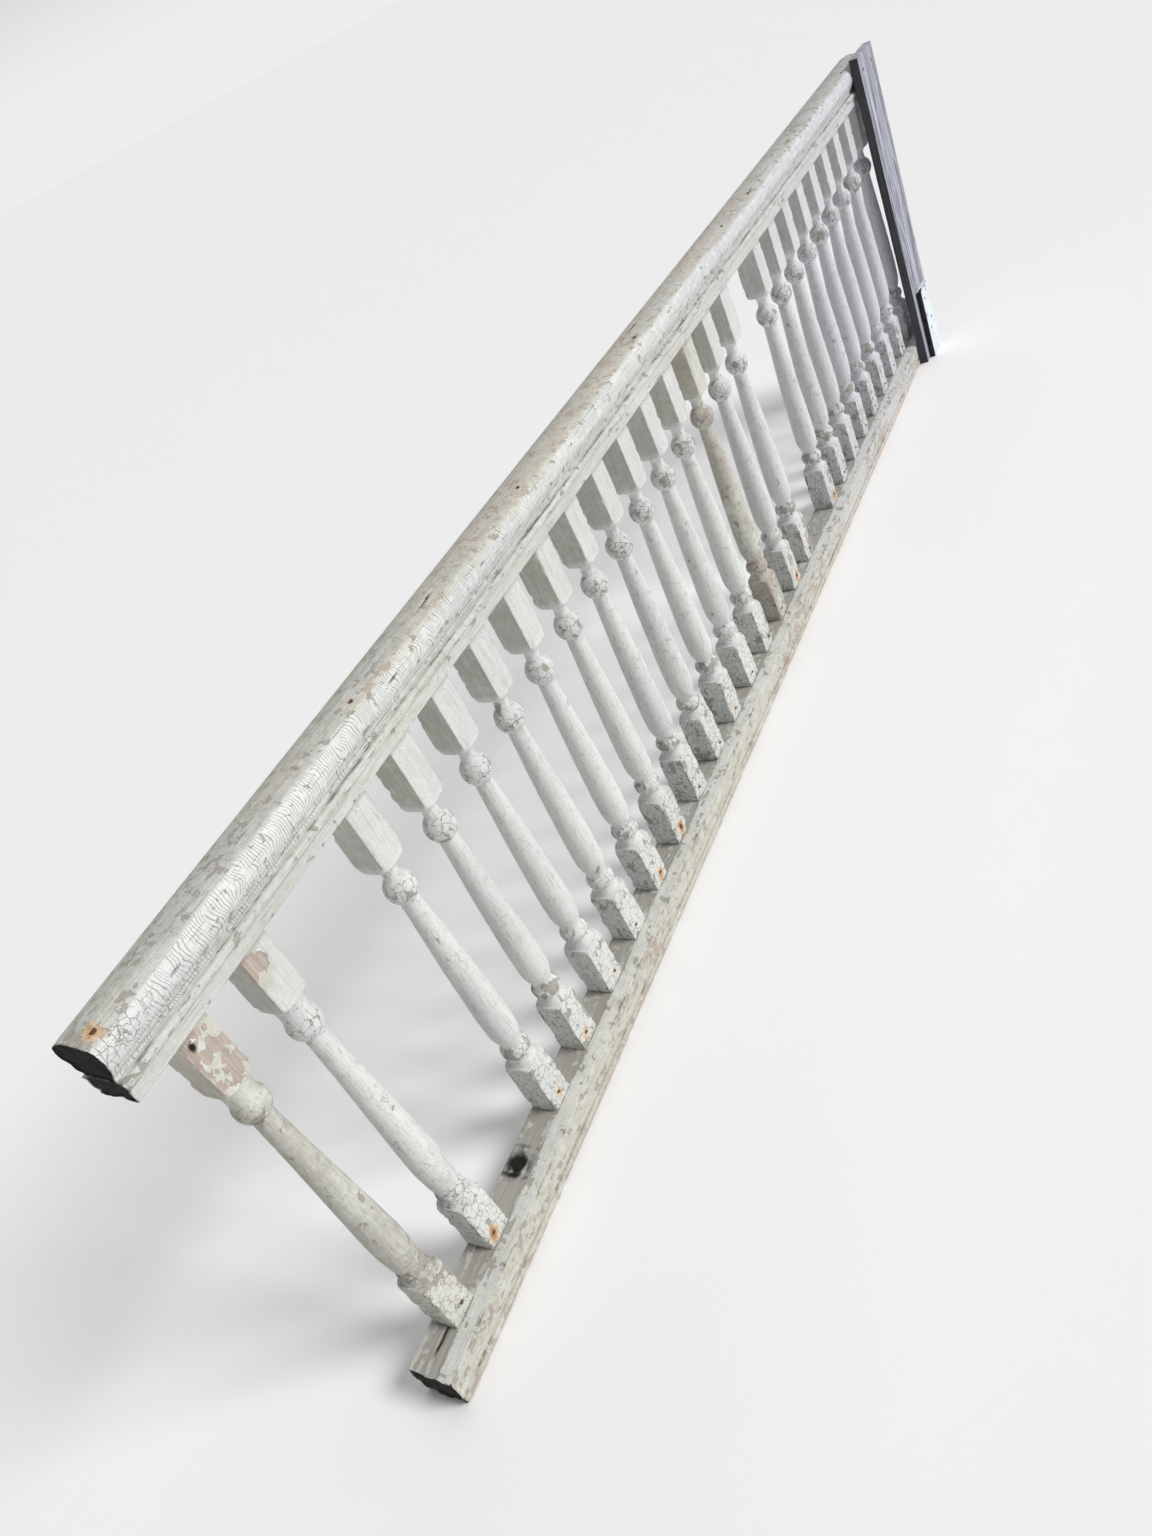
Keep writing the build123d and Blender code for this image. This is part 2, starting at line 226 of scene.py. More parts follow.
def skin_mesh(name, rings):
    """One closed mesh in metres from rings in millimetres, with a fan over each end."""
    rows, columns = rings.shape[:2]
    ends = np.stack([rings[0].mean(axis=0), rings[-1].mean(axis=0)])
    points = np.concatenate([rings.reshape(-1, 3), ends]) * MM
    quads, column, following = ring_faces(rows, columns)
    last = (rows - 1) * columns
    hub = np.full(columns, rows * columns)
    first_lid = np.stack([following, column, hub], -1)
    last_lid = np.stack([last + column, last + following, hub + 1], -1)
    triangles = np.concatenate([first_lid, last_lid])
    corner, side = points[quads[:, 0]], points[quads[:, 1]]
    facing = np.cross(side - corner, points[quads[:, 3]] - corner)
    if (facing * (corner - points.mean(axis=0))).sum() < 0:
        quads, triangles = quads[:, ::-1], triangles[:, ::-1]
    mesh = bpy.data.meshes.new(name)
    mesh.vertices.add(len(points))
    mesh.vertices.foreach_set("co", points.astype(np.float32).ravel())
    corners = np.concatenate([quads.ravel(), triangles.ravel()]).astype(np.int32)
    mesh.loops.add(len(corners))
    mesh.loops.foreach_set("vertex_index", corners)
    starts = np.cumsum([0] + [4] * len(quads) + [3] * (len(triangles) - 1))
    mesh.polygons.add(len(starts))
    mesh.polygons.foreach_set("loop_start", starts.astype(np.int32))
    mesh.update(calc_edges=True)
    if mesh.validate():
        raise RuntimeError(f"{name} has faulty faces")
    mesh.shade_smooth()
    mesh.set_sharp_from_angle(angle=SHARP)
    return mesh


def hold_fields(mesh, title, fields):
    """Stores up to four fields in one attribute. Each fan's middle takes the mean of its ring."""
    columns = fields[0].shape[1]
    values = np.zeros((len(mesh.vertices), 4), np.float32)
    held = np.clip(np.stack(fields, axis=-1), 0, 1)
    values[:-2, : len(fields)] = held.reshape(-1, len(fields))
    values[-2:] = values[:columns].mean(axis=0), values[-2 - columns : -2].mean(axis=0)
    attribute = mesh.attributes.new(title, "FLOAT_COLOR", "POINT")
    attribute.data.foreach_set("color", values.ravel())


def make_piece(node, rings, wear, stain, material):
    """A closed skin with its two weathering attributes, in place of a node."""
    mesh = skin_mesh(node + "_skin", rings)
    hold_fields(mesh, "wear", wear)
    hold_fields(mesh, "stain", stain)
    mesh.materials.append(material)
    piece = bpy.data.objects.new(mesh.name, mesh)
    bpy.context.scene.collection.objects.link(piece)
    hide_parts(node)
    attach(piece, ROOT)


# Finishes


class Recipe:
    """One material's nodes, added and joined by short calls."""

    def __init__(self, name, grain_axis=2):
        self.grain_axis = grain_axis
        self.material = bpy.data.materials.new(name)
        self.material.use_nodes = True
        self.nodes = self.material.node_tree.nodes
        self.links = self.material.node_tree.links
        self.shader = self.nodes["Principled BSDF"]
        self.place = self.add("TexCoord").outputs["Object"]

    def put(self, socket, value):
        if isinstance(value, bpy.types.NodeSocket):
            self.links.new(value, socket)
        else:
            socket.default_value = (*value, 1.0) if socket.type == "RGBA" else value

    def add(self, kind, settings=(), **sockets):
        node = self.nodes.new("ShaderNode" + kind)
        for key, value in dict(settings).items():
            setattr(node, key, value)
        for key, value in sockets.items():
            self.put(node.inputs[key.replace("_", " ")], value)
        return node

    def reckon(self, operation, first, second):
        node = self.add("Math", {"operation": operation})
        self.put(node.inputs[0], first)
        self.put(node.inputs[1], second)
        return node.outputs[0]

    def times(self, first, second):
        return self.reckon("MULTIPLY", first, second)

    def plus(self, first, second):
        return self.reckon("ADD", first, second)

    def less(self, first, second):
        return self.reckon("SUBTRACT", first, second)

    def rest(self, share):
        """What is left of 1."""
        return self.less(1.0, share)

    def swing(self, value, size):
        """A pattern from 0 to 1 made to swing by half the size to either side of nothing."""
        return self.times(self.less(value, 0.5), size)

    def ramp(self, value, low, high):
        """0 at low and 1 at high, smoothly."""
        settings = {"interpolation_type": "SMOOTHSTEP"}
        return self.add("MapRange", settings, Value=value, From_Min=low, From_Max=high).outputs[0]

    def mix(self, share, first, second):
        node = self.add("Mix", {"data_type": "RGBA", "clamp_factor": True})
        self.put(node.inputs[0], share)
        self.put(node.inputs[6], first)
        self.put(node.inputs[7], second)
        return node.outputs[2]

    def layers(self, colour, *coats):
        """Colours laid over the first, one after another, each by its own share."""
        for share, coat in coats:
            colour = self.mix(share, colour, coat)
        return colour

    def stretched(self, along, across):
        """Object coordinates scaled along the grain and across it, for a pattern of unit size."""
        scale = tuple(along if axis == self.grain_axis else across for axis in range(3))
        return self.add("Mapping", Vector=self.place, Scale=scale).outputs[0]

    def noise(self, vector, scale=1.0, detail=3.0, rough=0.55):
        sockets = {"Vector": vector, "Scale": scale, "Detail": detail, "Roughness": rough}
        return self.add("TexNoise", **sockets).outputs["Fac"]

    def shaken(self, along, across, wobble):
        """Stretched coordinates shifted by noise, so that lines on them waver."""
        shift = self.add("TexNoise", Vector=self.place, Scale=110.0, Detail=3.0).outputs["Color"]
        moved = self.add("VectorMath", {"operation": "MULTIPLY_ADD"})
        self.put(moved.inputs[0], shift)
        self.put(moved.inputs[1], (wobble,) * 3)
        self.put(moved.inputs[2], self.stretched(along, across))
        return moved.outputs[0]

    def cracks(self, along, across, width, wobble):
        """Thin lines between scattered cells, width being a share of a cell."""
        place = self.shaken(along, across, wobble)
        cells = self.add("TexVoronoi", {"feature": "DISTANCE_TO_EDGE"}, Vector=place, Scale=1.0)
        return self.rest(self.ramp(cells.outputs["Distance"], width * 0.25, width))

    def rungs(self, spacing, width):
        """Thin wavy lines across the grain, spacing metres apart, width being a share of that.

        Distance to the nearest whole number of spacings, shifted by noise and broken by noise.
        """
        place = self.add("SeparateXYZ", Vector=self.place).outputs[self.grain_axis]
        sway = self.times(self.noise(self.place, 36.0, 1.0), 5.0)
        phase = self.plus(self.times(place, 1 / spacing), sway)
        line = self.rest(self.ramp(self.reckon("PINGPONG", phase, 0.5), width * 0.3, width))
        gaps = self.noise(self.stretched(90.0, 60.0), 1.0, 1.0)
        return self.times(line, self.ramp(gaps, 0.3, 0.5))

    def surface(self, colour, roughness, height, strength, distance):
        """Joins colour, roughness and a relief of the given depth in metres to the shader."""
        self.put(self.shader.inputs["Base Color"], colour)
        self.put(self.shader.inputs["Roughness"], roughness)
        relief = self.add("Bump", Strength=strength, Distance=distance, Height=height)
        self.put(self.shader.inputs["Normal"], relief.outputs[0])
        return self.material

    def parts(self, attribute):
        """The four numbers of one weathering attribute."""
        held = self.add("Attribute", {"attribute_name": attribute}).outputs
        return [*self.add("SeparateColor", Color=held["Color"]).outputs, held["Alpha"]]


def paint_cracks(r, along, across, cracking, crosswise, middling):
    """How dark and how deep the paint's cracks are: coarse, close and crosswise ones."""
    coarse = r.cracks(along, across, 0.05, 0.7)
    close = r.cracks(along * 2.6, across * 2.6, 0.07, 0.8)
    ladder = r.rungs(0.0044, 0.2)
    patchy = r.swing(middling, 1.3)
    where = r.plus(cracking, patchy)
    crack = r.times(coarse, r.ramp(where, 0.3, 0.7))
    crack = r.reckon("MAXIMUM", crack, r.times(close, r.times(r.ramp(where, 0.4, 1.0), 0.35)))
    runs = r.ramp(r.plus(crosswise, r.times(patchy, 0.6)), 0.3, 0.75)
    trench = r.times(r.reckon("MAXIMUM", crack, r.times(ladder, r.times(runs, 0.2))), 0.9)
    return r.reckon("MAXIMUM", crack, r.times(ladder, r.times(runs, 0.7))), trench


def stained(r, tones, colour, rust, dirt_and_shade, middling, fine):
    """Rust that seeps in blurred patches round a dark core, then grime and painted shade in
    black.
    """
    blur = r.less(r.plus(middling, fine), 1.0)
    seep = r.plus(rust, r.times(r.times(blur, 1.3), r.ramp(rust, 0.0, 0.3)))
    iron_tone = r.mix(r.ramp(seep, 0.35, 0.85), tones.rust, tones.deep_rust)
    grime_and_shade = r.ramp(r.plus(dirt_and_shade, r.swing(middling, 0.5)), 0.2, 0.95)
    return r.layers(
        colour,
        (r.times(r.ramp(seep, 0.08, 0.6), 0.85), iron_tone),
        (r.ramp(rust, 0.86, 1.0), tones.crack),
        (r.times(grime_and_shade, 0.985), tones.black),
    )


def painted_wood(name, tones, grain_axis, crack_along, crack_across, white):
    """Old paint on wood.

    Its wear attribute holds loss, cracking, dirt with painted shade, and crosswise cracks, and
    stain holds rust, warmth, thinness and coolness.
    """
    r = Recipe(name, grain_axis)
    loss, cracking, dirt_and_shade, crosswise = r.parts("wear")
    rust, warmth, thinness, coolness = r.parts("stain")

    grain = r.noise(r.stretched(9.0, 420.0), 1.0, 4.0, 0.6)
    figure = r.noise(r.stretched(3.0, 70.0), 1.0, 3.0)
    fine = r.noise(r.place, 420.0, 3.0, 0.65)
    middling = r.noise(r.place, 70.0, 4.0, 0.6)
    cells = r.shaken(crack_along, crack_across, 0.5)
    chips = r.add("TexVoronoi", Vector=cells, Scale=1.0).outputs["Color"]
    chip = r.add("SeparateColor", Color=chips).outputs[0]

    ragged = r.swing(chip, 0.34)
    ragged = r.plus(ragged, r.swing(fine, 0.16))
    loss_here = r.plus(loss, ragged)
    bare = r.ramp(loss_here, 0.49, 0.51)
    film = r.rest(bare)
    # The lifted edge round each flake: raised in the relief, and darkened with the grain tone as
    # painted shadow.
    lip_and_shadow = r.times(r.ramp(loss_here, 0.465, 0.49), film)
    crack, trench = paint_cracks(r, crack_along, crack_across, cracking, crosswise, middling)

    silver = r.mix(r.ramp(warmth, 0.42, 0.85), tones.weathered, tones.bare)
    wood = r.mix(r.ramp(grain, 0.35, 0.68), r.mix(0.42, silver, tones.grain), silver)
    wood = r.mix(r.times(r.ramp(figure, 0.5, 0.75), 0.3), wood, tones.fresh)

    cream = r.times(r.ramp(warmth, 0.0, 0.7), r.ramp(middling, 0.15, 0.7))
    cool = r.ramp(r.noise(r.stretched(4.0, 16.0), 1.0, 3.0), 0.42, 0.62)
    speckle = r.ramp(r.noise(r.place, 250.0, 5.0, 0.75), 0.5, 0.62)
    worn_through = r.ramp(r.plus(grain, r.times(middling, 0.6)), 0.5, 0.95)
    hairs = r.noise(r.stretched(14.0, 900.0), 1.0, 2.0)
    colour = r.layers(
        white,
        (r.times(cool, 0.55), tones.shade),
        (cream, tones.cream),
        (r.times(coolness, 0.7), tones.cool),
        (r.times(r.ramp(fine, 0.45, 0.75), 0.3), tones.weathered),
        (r.times(speckle, r.plus(0.1, r.times(thinness, 0.55))), tones.weathered),
        (r.times(thinness, r.times(worn_through, 0.8)), silver),
        (r.times(thinness, 0.4), tones.weathered),
        (r.times(r.ramp(hairs, 0.58, 0.68), 0.5), tones.grain),
        (bare, wood),
        # painted shadow along the flakes' lifted edges
        (r.times(lip_and_shadow, 0.5), tones.grain),
        (r.times(r.times(crack, film), 0.72), tones.crack),
    )
    colour = stained(r, tones, colour, rust, dirt_and_shade, middling, fine)
    r.shader.inputs["Specular IOR Level"].default_value = 0.25

    rough = r.plus(0.52, r.times(bare, 0.3))
    rough = r.plus(rough, r.times(fine, 0.14))
    height = r.less(r.plus(film, r.times(lip_and_shadow, 0.5)), r.times(trench, film))
    height = r.plus(height, r.times(grain, r.plus(0.25, r.times(bare, 0.6))))
    height = r.plus(height, r.times(fine, 0.25))
    return r.surface(colour, rough, height, 0.75, 0.0006)


def lumber(name, tones):
    """Bare, silvered lumber with open checks up its length. wear holds checks, loss and painted
    shade.
    """
    r = Recipe(name)
    checks, _, dirt_and_shade, _ = r.parts("wear")
    grain = r.noise(r.stretched(5.0, 330.0), 1.0, 5.0, 0.65)
    figure = r.noise(r.stretched(1.6, 40.0), 1.0, 3.0)
    blotch = r.noise(r.place, 22.0, 4.0, 0.6)
    opening = r.ramp(r.plus(checks, r.swing(grain, 0.9)), 0.25, 0.6)
    colour = r.layers(
        tones.board_dark,
        (r.ramp(grain, 0.35, 0.65), tones.board),
        (r.times(r.ramp(figure, 0.42, 0.62), 0.6), tones.board_dark),
        (r.times(r.ramp(blotch, 0.5, 0.75), 0.4), tones.board_light),
        (r.times(opening, 0.85), tones.crack),
        # black where painted shade darkens the board's near side
        (r.ramp(dirt_and_shade, 0.1, 0.9), tones.black),
    )
    rough = r.plus(0.78, r.times(grain, 0.15))
    return r.surface(colour, rough, r.less(grain, opening), 0.8, 0.0008)


def nail_iron(name, under, over, scale, low, rough, strength, metallic):
    """Pitted nail heads: one colour under another, which starts where the pitting passes low."""
    r = Recipe(name)
    pits = r.noise(r.place, scale, 4.0, 0.7)
    colour = r.mix(r.ramp(pits, low, 0.7), under, over)
    r.shader.inputs["Metallic"].default_value = metallic
    return r.surface(colour, r.plus(rough, r.times(pits, 0.25)), pits, strength, 0.0004)


FINISHES = {}


def finish(title):
    """Makes a named finish once and hands the same one out after that."""
    if title not in FINISHES:
        tones = bpy.context.scene.porch_tones
        makers = {
            "rail_paint": (painted_wood, tones, 0, 125.0, 80.0, tones.white),
            "baluster_paint": (painted_wood, tones, 2, 70.0, 85.0, tones.white),
            "cleat_paint": (painted_wood, tones, 2, 60.0, 120.0, tones.cleat),
            "weathered_lumber": (lumber, tones),
            "rusty_iron": (nail_iron, tones.iron, tones.deep_rust, 900.0, 0.45, 0.7, 0.9, 0.25),
            "painted_iron": (nail_iron, tones.white, tones.rust, 600.0, 0.58, 0.5, 0.7, 0.0),
        }
        maker, *settings = makers[title]
        FINISHES[title] = maker(title, *settings)
    return FINISHES[title]


# Rails

END_REACH, END_DEPTH = 14.0, 2.3    # how far in the ends are worn, and how deep at the very end
RAIL_WAVE = 0.45                    # depth of the old wood's slow waves
NAIL_HOLE = (NEAR + 92, 50)         # an empty nail hole in the bottom rail's fascia
CAP_NAIL = (NEAR + 22, -19)         # the one rusty nail that shows on the cap


def along(outline, spacing):
    """Carries a closed outline of (y, z) along the rails, one ring each spacing."""
    section = divided([*outline, outline[0]], spacing * 0.9)[:-1]
    count = int((RAIL_HIGH[0] - NEAR) / spacing) + 1
    stations = np.linspace(NEAR, RAIL_HIGH[0], count)
    rings = np.empty((len(stations), len(section), 3))
    rings[..., 0] = stations[:, None]
    rings[..., 1:] = section[None]
    return rings


def end_gap(rings):
    """Distance in from the nearer end of the rails."""
    return np.minimum(rings[..., 0] - NEAR, RAIL_HIGH[0] - rings[..., 0])


def worn_ends(rings, reach, depth, seed):
    """Draws the rings near both ends back and inwards, by depth times noise at the very end."""
    share = 1 - band(end_gap(rings), 0, reach)
    share = share * (0.25 + 0.75 * cloud(rings, (9, 9, 9), seed, 2))
    middle = rings[..., 1:].mean(axis=1, keepdims=True)
    spokes = rings[..., 1:] - middle
    length = np.linalg.norm(spokes, axis=-1, keepdims=True)
    ragged = share * depth * band(cloud(rings, (60, 15, 15), seed + 3, 2), 0.3, 0.75)
    rings[..., 1:] -= spokes / length * (0.3 * share * depth + 0.5 * ragged)[..., None]
    rings[..., 0] -= np.sign(rings[..., 0]) * 1.5 * ragged
    return rings


def split(points, near, across, length, depth):
    """A groove along the grain with a bell section, starting near mm in and at (y, z) across."""
    start = NEAR + near
    wander = 1.6 * np.sin(points[..., 0] / 17 + near)
    reach = np.hypot(points[..., 1] - across[0] - wander, points[..., 2] - across[1])
    ends = bump(points[..., 0], start + length / 2, length / 2.2)
    return depth * np.exp(-((reach / 2.6) ** 2)) * ends


def weather(rings, loss, groove, film, wave, seed):
    """Moves points inwards: lost film, grooves and slow waves. Nothing moves outwards."""
    ripple = cloud(rings, (90, 6, 6), seed, 2)
    slow = cloud(rings, (140, 30, 30), seed + 5, 2)
    cut = film * band(loss, 0.47, 0.54) + groove + wave * (0.5 * ripple + 0.5 * slow)
    return rings - normals_of(rings) * cut[..., None]


def end_field(rings, width):
    """1 on the lids and just behind the ends, falling to 0 over width."""
    return 1 - band(end_gap(rings), 0, width)


def padded_fields(fields, lid_values=(None,) * 4):
    """Repeats each field's first and last rings over the lids, or gives the lids a value."""
    count = len(LID_SHARES)
    grown = []
    for field, value in zip(fields, lid_values):
        lid = np.repeat(field[:1], count, axis=0), np.repeat(field[-1:], count, axis=0)
        if value is not None:
            lid = tuple(np.full_like(part, value) for part in lid)
        grown.append(np.concatenate([lid[0], field, lid[1]]))
    return grown


def lay_rail(settings, node, outline, fields, roughness, lid_values, seed):
    """Makes one rail: its skin, the fields that say how worn it is, then its closed ends."""
    rings = worn_ends(along(outline(), settings.spacing), END_REACH, END_DEPTH, seed)
    loss, cracking, dirt_and_shade, crosswise, rust, warmth, thinness, groove = fields(rings)
    rings = weather(rings, loss, groove, settings.film, RAIL_WAVE, seed)
    wear = padded_fields((loss, cracking, dirt_and_shade, crosswise), (*lid_values[:3], 0.0))
    cool = band(rings[..., 0], NEAR + 1300, NEAR + 2900)
    stain = padded_fields((rust, warmth, thinness, cool), (*lid_values[3:], None))
    rings = closed(rings, axis=0, roughness=roughness, seed=seed)
    make_piece(node, rings, wear, stain, finish("rail_paint"))


FASCIA_FOOT, QUIRK, RAIL_BEAD, ARRIS, WASH_DROP = 34.0, 2.5, 12.0, 3.0, 4.0


def bottom_rail_outline():
    """(y, z): a flat top, a slope in front, a fascia with a bead between quirks, a plain back."""
    front, back, top = RAIL_LOW[1], RAIL_HIGH[1], RAIL_HIGH[2]
    bead_top = FASCIA_FOOT - QUIRK
    bead_foot = bead_top - RAIL_BEAD
    inner = front + QUIRK
    return [
        (front + ARRIS, 0), (back - ARRIS, 0), (back, ARRIS), (back, top - ARRIS / 2),
        (back - ARRIS / 2, top), (BLANK_FRONT, top), (front + 0.8, top - WASH_DROP),
        (front, top - WASH_DROP - 0.8),
        (front, FASCIA_FOOT), (inner, FASCIA_FOOT),
        *arc((inner, bead_top), (front, (bead_top + bead_foot) / 2), (inner, bead_foot)),
        (inner, bead_foot - QUIRK), (front, bead_foot - QUIRK), (front, ARRIS),
    ]


def bottom_rail_fields(rings):
    """Bare grey top, flaking front strip, thin cream fascia, and rot where a baluster is lost."""
    x, y, z = np.moveaxis(rings, -1, 0)
    top = band(z, 61.5, 63) * band(y, BLANK_FRONT - 3, BLANK_FRONT + 1)
    strip = band(z, 58.5, 60.5) * (1 - band(y, BLANK_FRONT - 3, BLANK_FRONT + 1))
    front = (1 - band(y, -36, -33)) * (1 - band(z, 58, 60))
    lower = 1 - band(z, 4, 9)
    fine = cloud(rings, (22, 7, 7), 3)
    broad = cloud(rings, (160, 30, 30), 4)
    loss = fine - 0.22 + 0.34 * top * (0.7 + broad * 0.6) + 0.02 * strip
    loss += front * (0.05 + 0.25 * lower + 0.5 * (broad - 0.5))
    cracking = 0.16 + 0.16 * strip + 0.24 * front * band(broad, 0.35, 0.6)
    upper_quirk = FASCIA_FOOT - QUIRK / 2
    quirks = bump(z, upper_quirk, 1.3) + bump(z, upper_quirk - QUIRK - RAIL_BEAD, 1.3)
    dirt_and_shade = 0.55 * quirks * front * (0.5 + 0.5 * band(broad, 0.35, 0.6))
    dirt_and_shade += 0.6 * bump(z, 59.4, 1.3) * (1 - band(y, -37, -33)) * band(fine, 0.35, 0.55)
    grimy = band(cloud(rings, (40, 9, 9), 12), 0.45, 0.6)
    dirt_and_shade += 0.5 * bump(y, BLANK_FRONT, 1.6) * top * grimy
    spread = cloud(rings, (13, 11, 11), 9)
    groove = split(rings, 22, (4, 64), 58, 2.6) + split(rings, 150, (20, 64), 90, 1.4)
    dirt_and_shade += 0.5 * groove
    for slot in LOST:
        centre = FIRST_LOW[0] + BLANK / 2 + (slot - 1) * PITCH
        inside = bump(x, centre - 7, 26) * bump(y, 14, 27) * top
        rotten = inside * band(spread, 0.12, 0.46) * (1.0 if slot == LOST[0] else 0.35)
        dirt_and_shade += 1.15 * rotten
        groove += 2.4 * rotten * cloud(rings, (8, 5, 5), 21, 2)
        outline = bump(np.abs(x - centre), BLANK / 2, 2.2) * top
        dirt_and_shade += 0.5 * outline * band(y, BLANK_FRONT - 1, BLANK_FRONT + 1)
    dirt_and_shade += 0.75 * end_field(rings, 3.0) * band(spread, 0.3, 0.6)
    dirt_and_shade += bump(x, NAIL_HOLE[0], 2.6) * bump(z, NAIL_HOLE[1], 2.6) * front
    back_strip = band(y, 27, 31) * top * (1 - band(x, NEAR + 80, NEAR + 130))
    loss -= 0.35 * back_strip
    rust = 0.5 * lower * front * band(cloud(rings, (60, 8, 8), 15), 0.45, 0.6)
    rust = rust * band(x, NEAR + 900, NEAR + 2000)
    warmth = 0.3 + 0.35 * front + 0.35 * (broad - 0.5) + 0.3 * lower
    thinness = 0.35 + 0.5 * top + 0.3 * front * broad
    return loss, cracking, dirt_and_shade, 0.25 * strip, rust, warmth, thinness, groove


BEAD_START, BEAD_HEIGHT, BEAD_PROUD = 18.0, 13.0, 4.5


def sub_rail_outline():
    """A beaded front and a plain back, narrowed to the cap's seat at the top."""
    face = SUB_LOW[1] + BEAD_PROUD
    back, foot, top = SUB_HIGH[1], SUB_LOW[2], SUB_HIGH[2]
    low, high = foot + BEAD_START, foot + BEAD_START + BEAD_HEIGHT
    seat = face + 4
    return [
        (back, foot), (face + 1, foot), (face, foot + 1),
        *arc((face, low), (face - BEAD_PROUD, (low + high) / 2), (face, high)),
        (seat, high), (seat, top), (-seat, top), (-seat, high), (back, high),
    ]


def sub_rail_fields(rings):
    """A smooth grey-white fascia, dirty lines beside the bead and a few long cracks."""
    y, z = rings[..., 1], rings[..., 2]
    front = 1 - band(y, -22, -18)
    bead = bump(z, SUB_LOW[2] + BEAD_START + BEAD_HEIGHT / 2, 7) * front
    broad = cloud(rings, (120, 30, 30), 31)
    dashes = band(cloud(rings, (26, 4, 4), 33), 0.5, 0.62)
    bead_foot = SUB_LOW[2] + BEAD_START
    edges = bump(z, bead_foot - 1, 1.1) + bump(z, bead_foot + BEAD_HEIGHT, 1.2)
    dirt_and_shade = 0.6 * edges * front * (0.5 + 0.5 * dashes)
    loss = cloud(rings, (26, 6, 6), 35) - 0.29 + 0.06 * bead + 0.1 * end_field(rings, 30)
    cracking = 0.08 + 0.25 * bead
    nothing = np.zeros_like(y)
    dirt_and_shade += 0.6 * end_field(rings, 2.5)
    warmth, thinness = 0.2 + 0.2 * broad, 0.3 + 0.3 * broad
    return loss, cracking, dirt_and_shade, 0.35 * bead, nothing, warmth, thinness, nothing


STEP_SIDE, SEAT_SIDE, COVE, LIP, FILLET = 31.0, 25.0, 8.0, 3.0, 2.0
SHOULDER, CROWN = 21.0, 70.0


def cap_outline():
    """A wide crown arc and two shoulder arcs over a small step and a cove on each side."""
    half, foot, top = CAP_HIGH[1], CAP_LOW[2], CAP_HIGH[2]
    lean = math.asin((half - SHOULDER) / (CROWN - SHOULDER))
    centre = top - CROWN
    widest = centre + (CROWN - SHOULDER) * math.cos(lean)
    edge = (CROWN * math.sin(lean), centre + CROWN * math.cos(lean))
    step = foot + LIP + COVE
    cove = tangent_arc((SEAT_SIDE, foot + LIP), (0, 1), (STEP_SIDE, step), 7)
    under = tangent_arc((half, widest), (0, -1), (STEP_SIDE, step + FILLET), 10)[::-1]
    shoulder = tangent_arc((half, widest), (0, 1), edge, 14)
    crown = tangent_arc((0, top), (1, 0), edge, 12)[::-1]
    side = [(SEAT_SIDE, foot), *cove, *under, *shoulder[1:], *crown[1:]]
    return [*side, *[(-y, z) for y, z in side[::-1][1:]]]


CAP_SPLITS = (
    (46, (-32, 806), 26), (96, (-36, 796), 34), (330, (-30, 808), 30), (395, (-31, 807), 26),
    (560, (-36, 800), 40), (690, (-12, 819), 60), (820, (-36, 797), 28), (1180, (-30, 808), 46),
    (1500, (4, 821), 80), (1750, (-34, 803), 36), (2150, (-20, 817), 60),
)


def cap_fields(rings):
    """Worn grey crown, white front shoulder cracked crosswise, dark dashes along the step."""
    x, y, z = np.moveaxis(rings, -1, 0)
    angle = np.degrees(np.arctan2(z - 788, -y))
    angle = np.where(angle < -90, angle + 360, angle)
    drift = 16 * (cloud(rings, (90, 40, 40), 41) - 0.5)
    drift += 26 * (cloud(rings, (620, 90, 90), 42, 2) - 0.5)
    crown = band(angle + drift, 33, 46) * (1 - band(angle, 185, 205))
    shoulder = band(angle, -12, 4) * (1 - crown)
    under = (1 - band(angle, -14, 2)) * (1 - band(angle, 150, 170))
    broad = cloud(rings, (330, 50, 50), 43)
    fine = cloud(rings, (13, 7, 7), 44)
    edge = bump(angle + drift, 39, 12)
    loss = fine - 0.25 + 0.15 * edge * band(broad, 0.45, 0.6) + 0.02 * crown + 0.02 * under
    loss += 0.12 * end_field(rings, 40) * crown - 0.07 * shoulder
    cracking = 0.14 + 0.12 * shoulder + 0.2 * under + 0.2 * crown
    groove = sum(split(rings, *place, 1.8) for place in CAP_SPLITS)
    step = bump(z, CAP_LOW[2] + LIP + COVE, 1.3) * band(-y, 10, 20)
    dashes = band(cloud(rings, (24, 4, 4), 46), 0.48, 0.6)
    flecks = band(cloud(rings, (6, 4, 4), 47, 2), 0.65, 0.75) * (0.4 + 0.6 * crown)
    dirt_and_shade = 0.5 * step * dashes + 0.5 * groove + 0.4 * flecks + 0.85 * end_field(rings, 3.5)
    nail = np.hypot(x - CAP_NAIL[0], y - CAP_NAIL[1])
    rust = 0.75 * np.exp(-((nail / 11) ** 2)) * band(z, 790, 805)
    far = band(x, NEAR + 1700, NEAR + 2800)
    warm_crown = 0.75 * crown * band(broad, 0.38, 0.62) + 0.5 * edge * band(broad, 0.5, 0.62)
    warmth = 0.12 + warm_crown * (1 - 0.75 * far)
    streaks = cloud(rings, (200, 12, 12), 48)
    thinness = 0.06 + 0.22 * under + crown * (0.6 + 0.7 * (streaks - 0.2))
    ends = end_field(rings, 130)
    cracking += 0.55 * ends * shoulder
    crosswise = 0.85 * shoulder * (1 - 0.7 * ends) + 0.7 * under + 0.6 * crown * far
    return loss, cracking, dirt_and_shade, crosswise, rust, warmth, thinness, groove


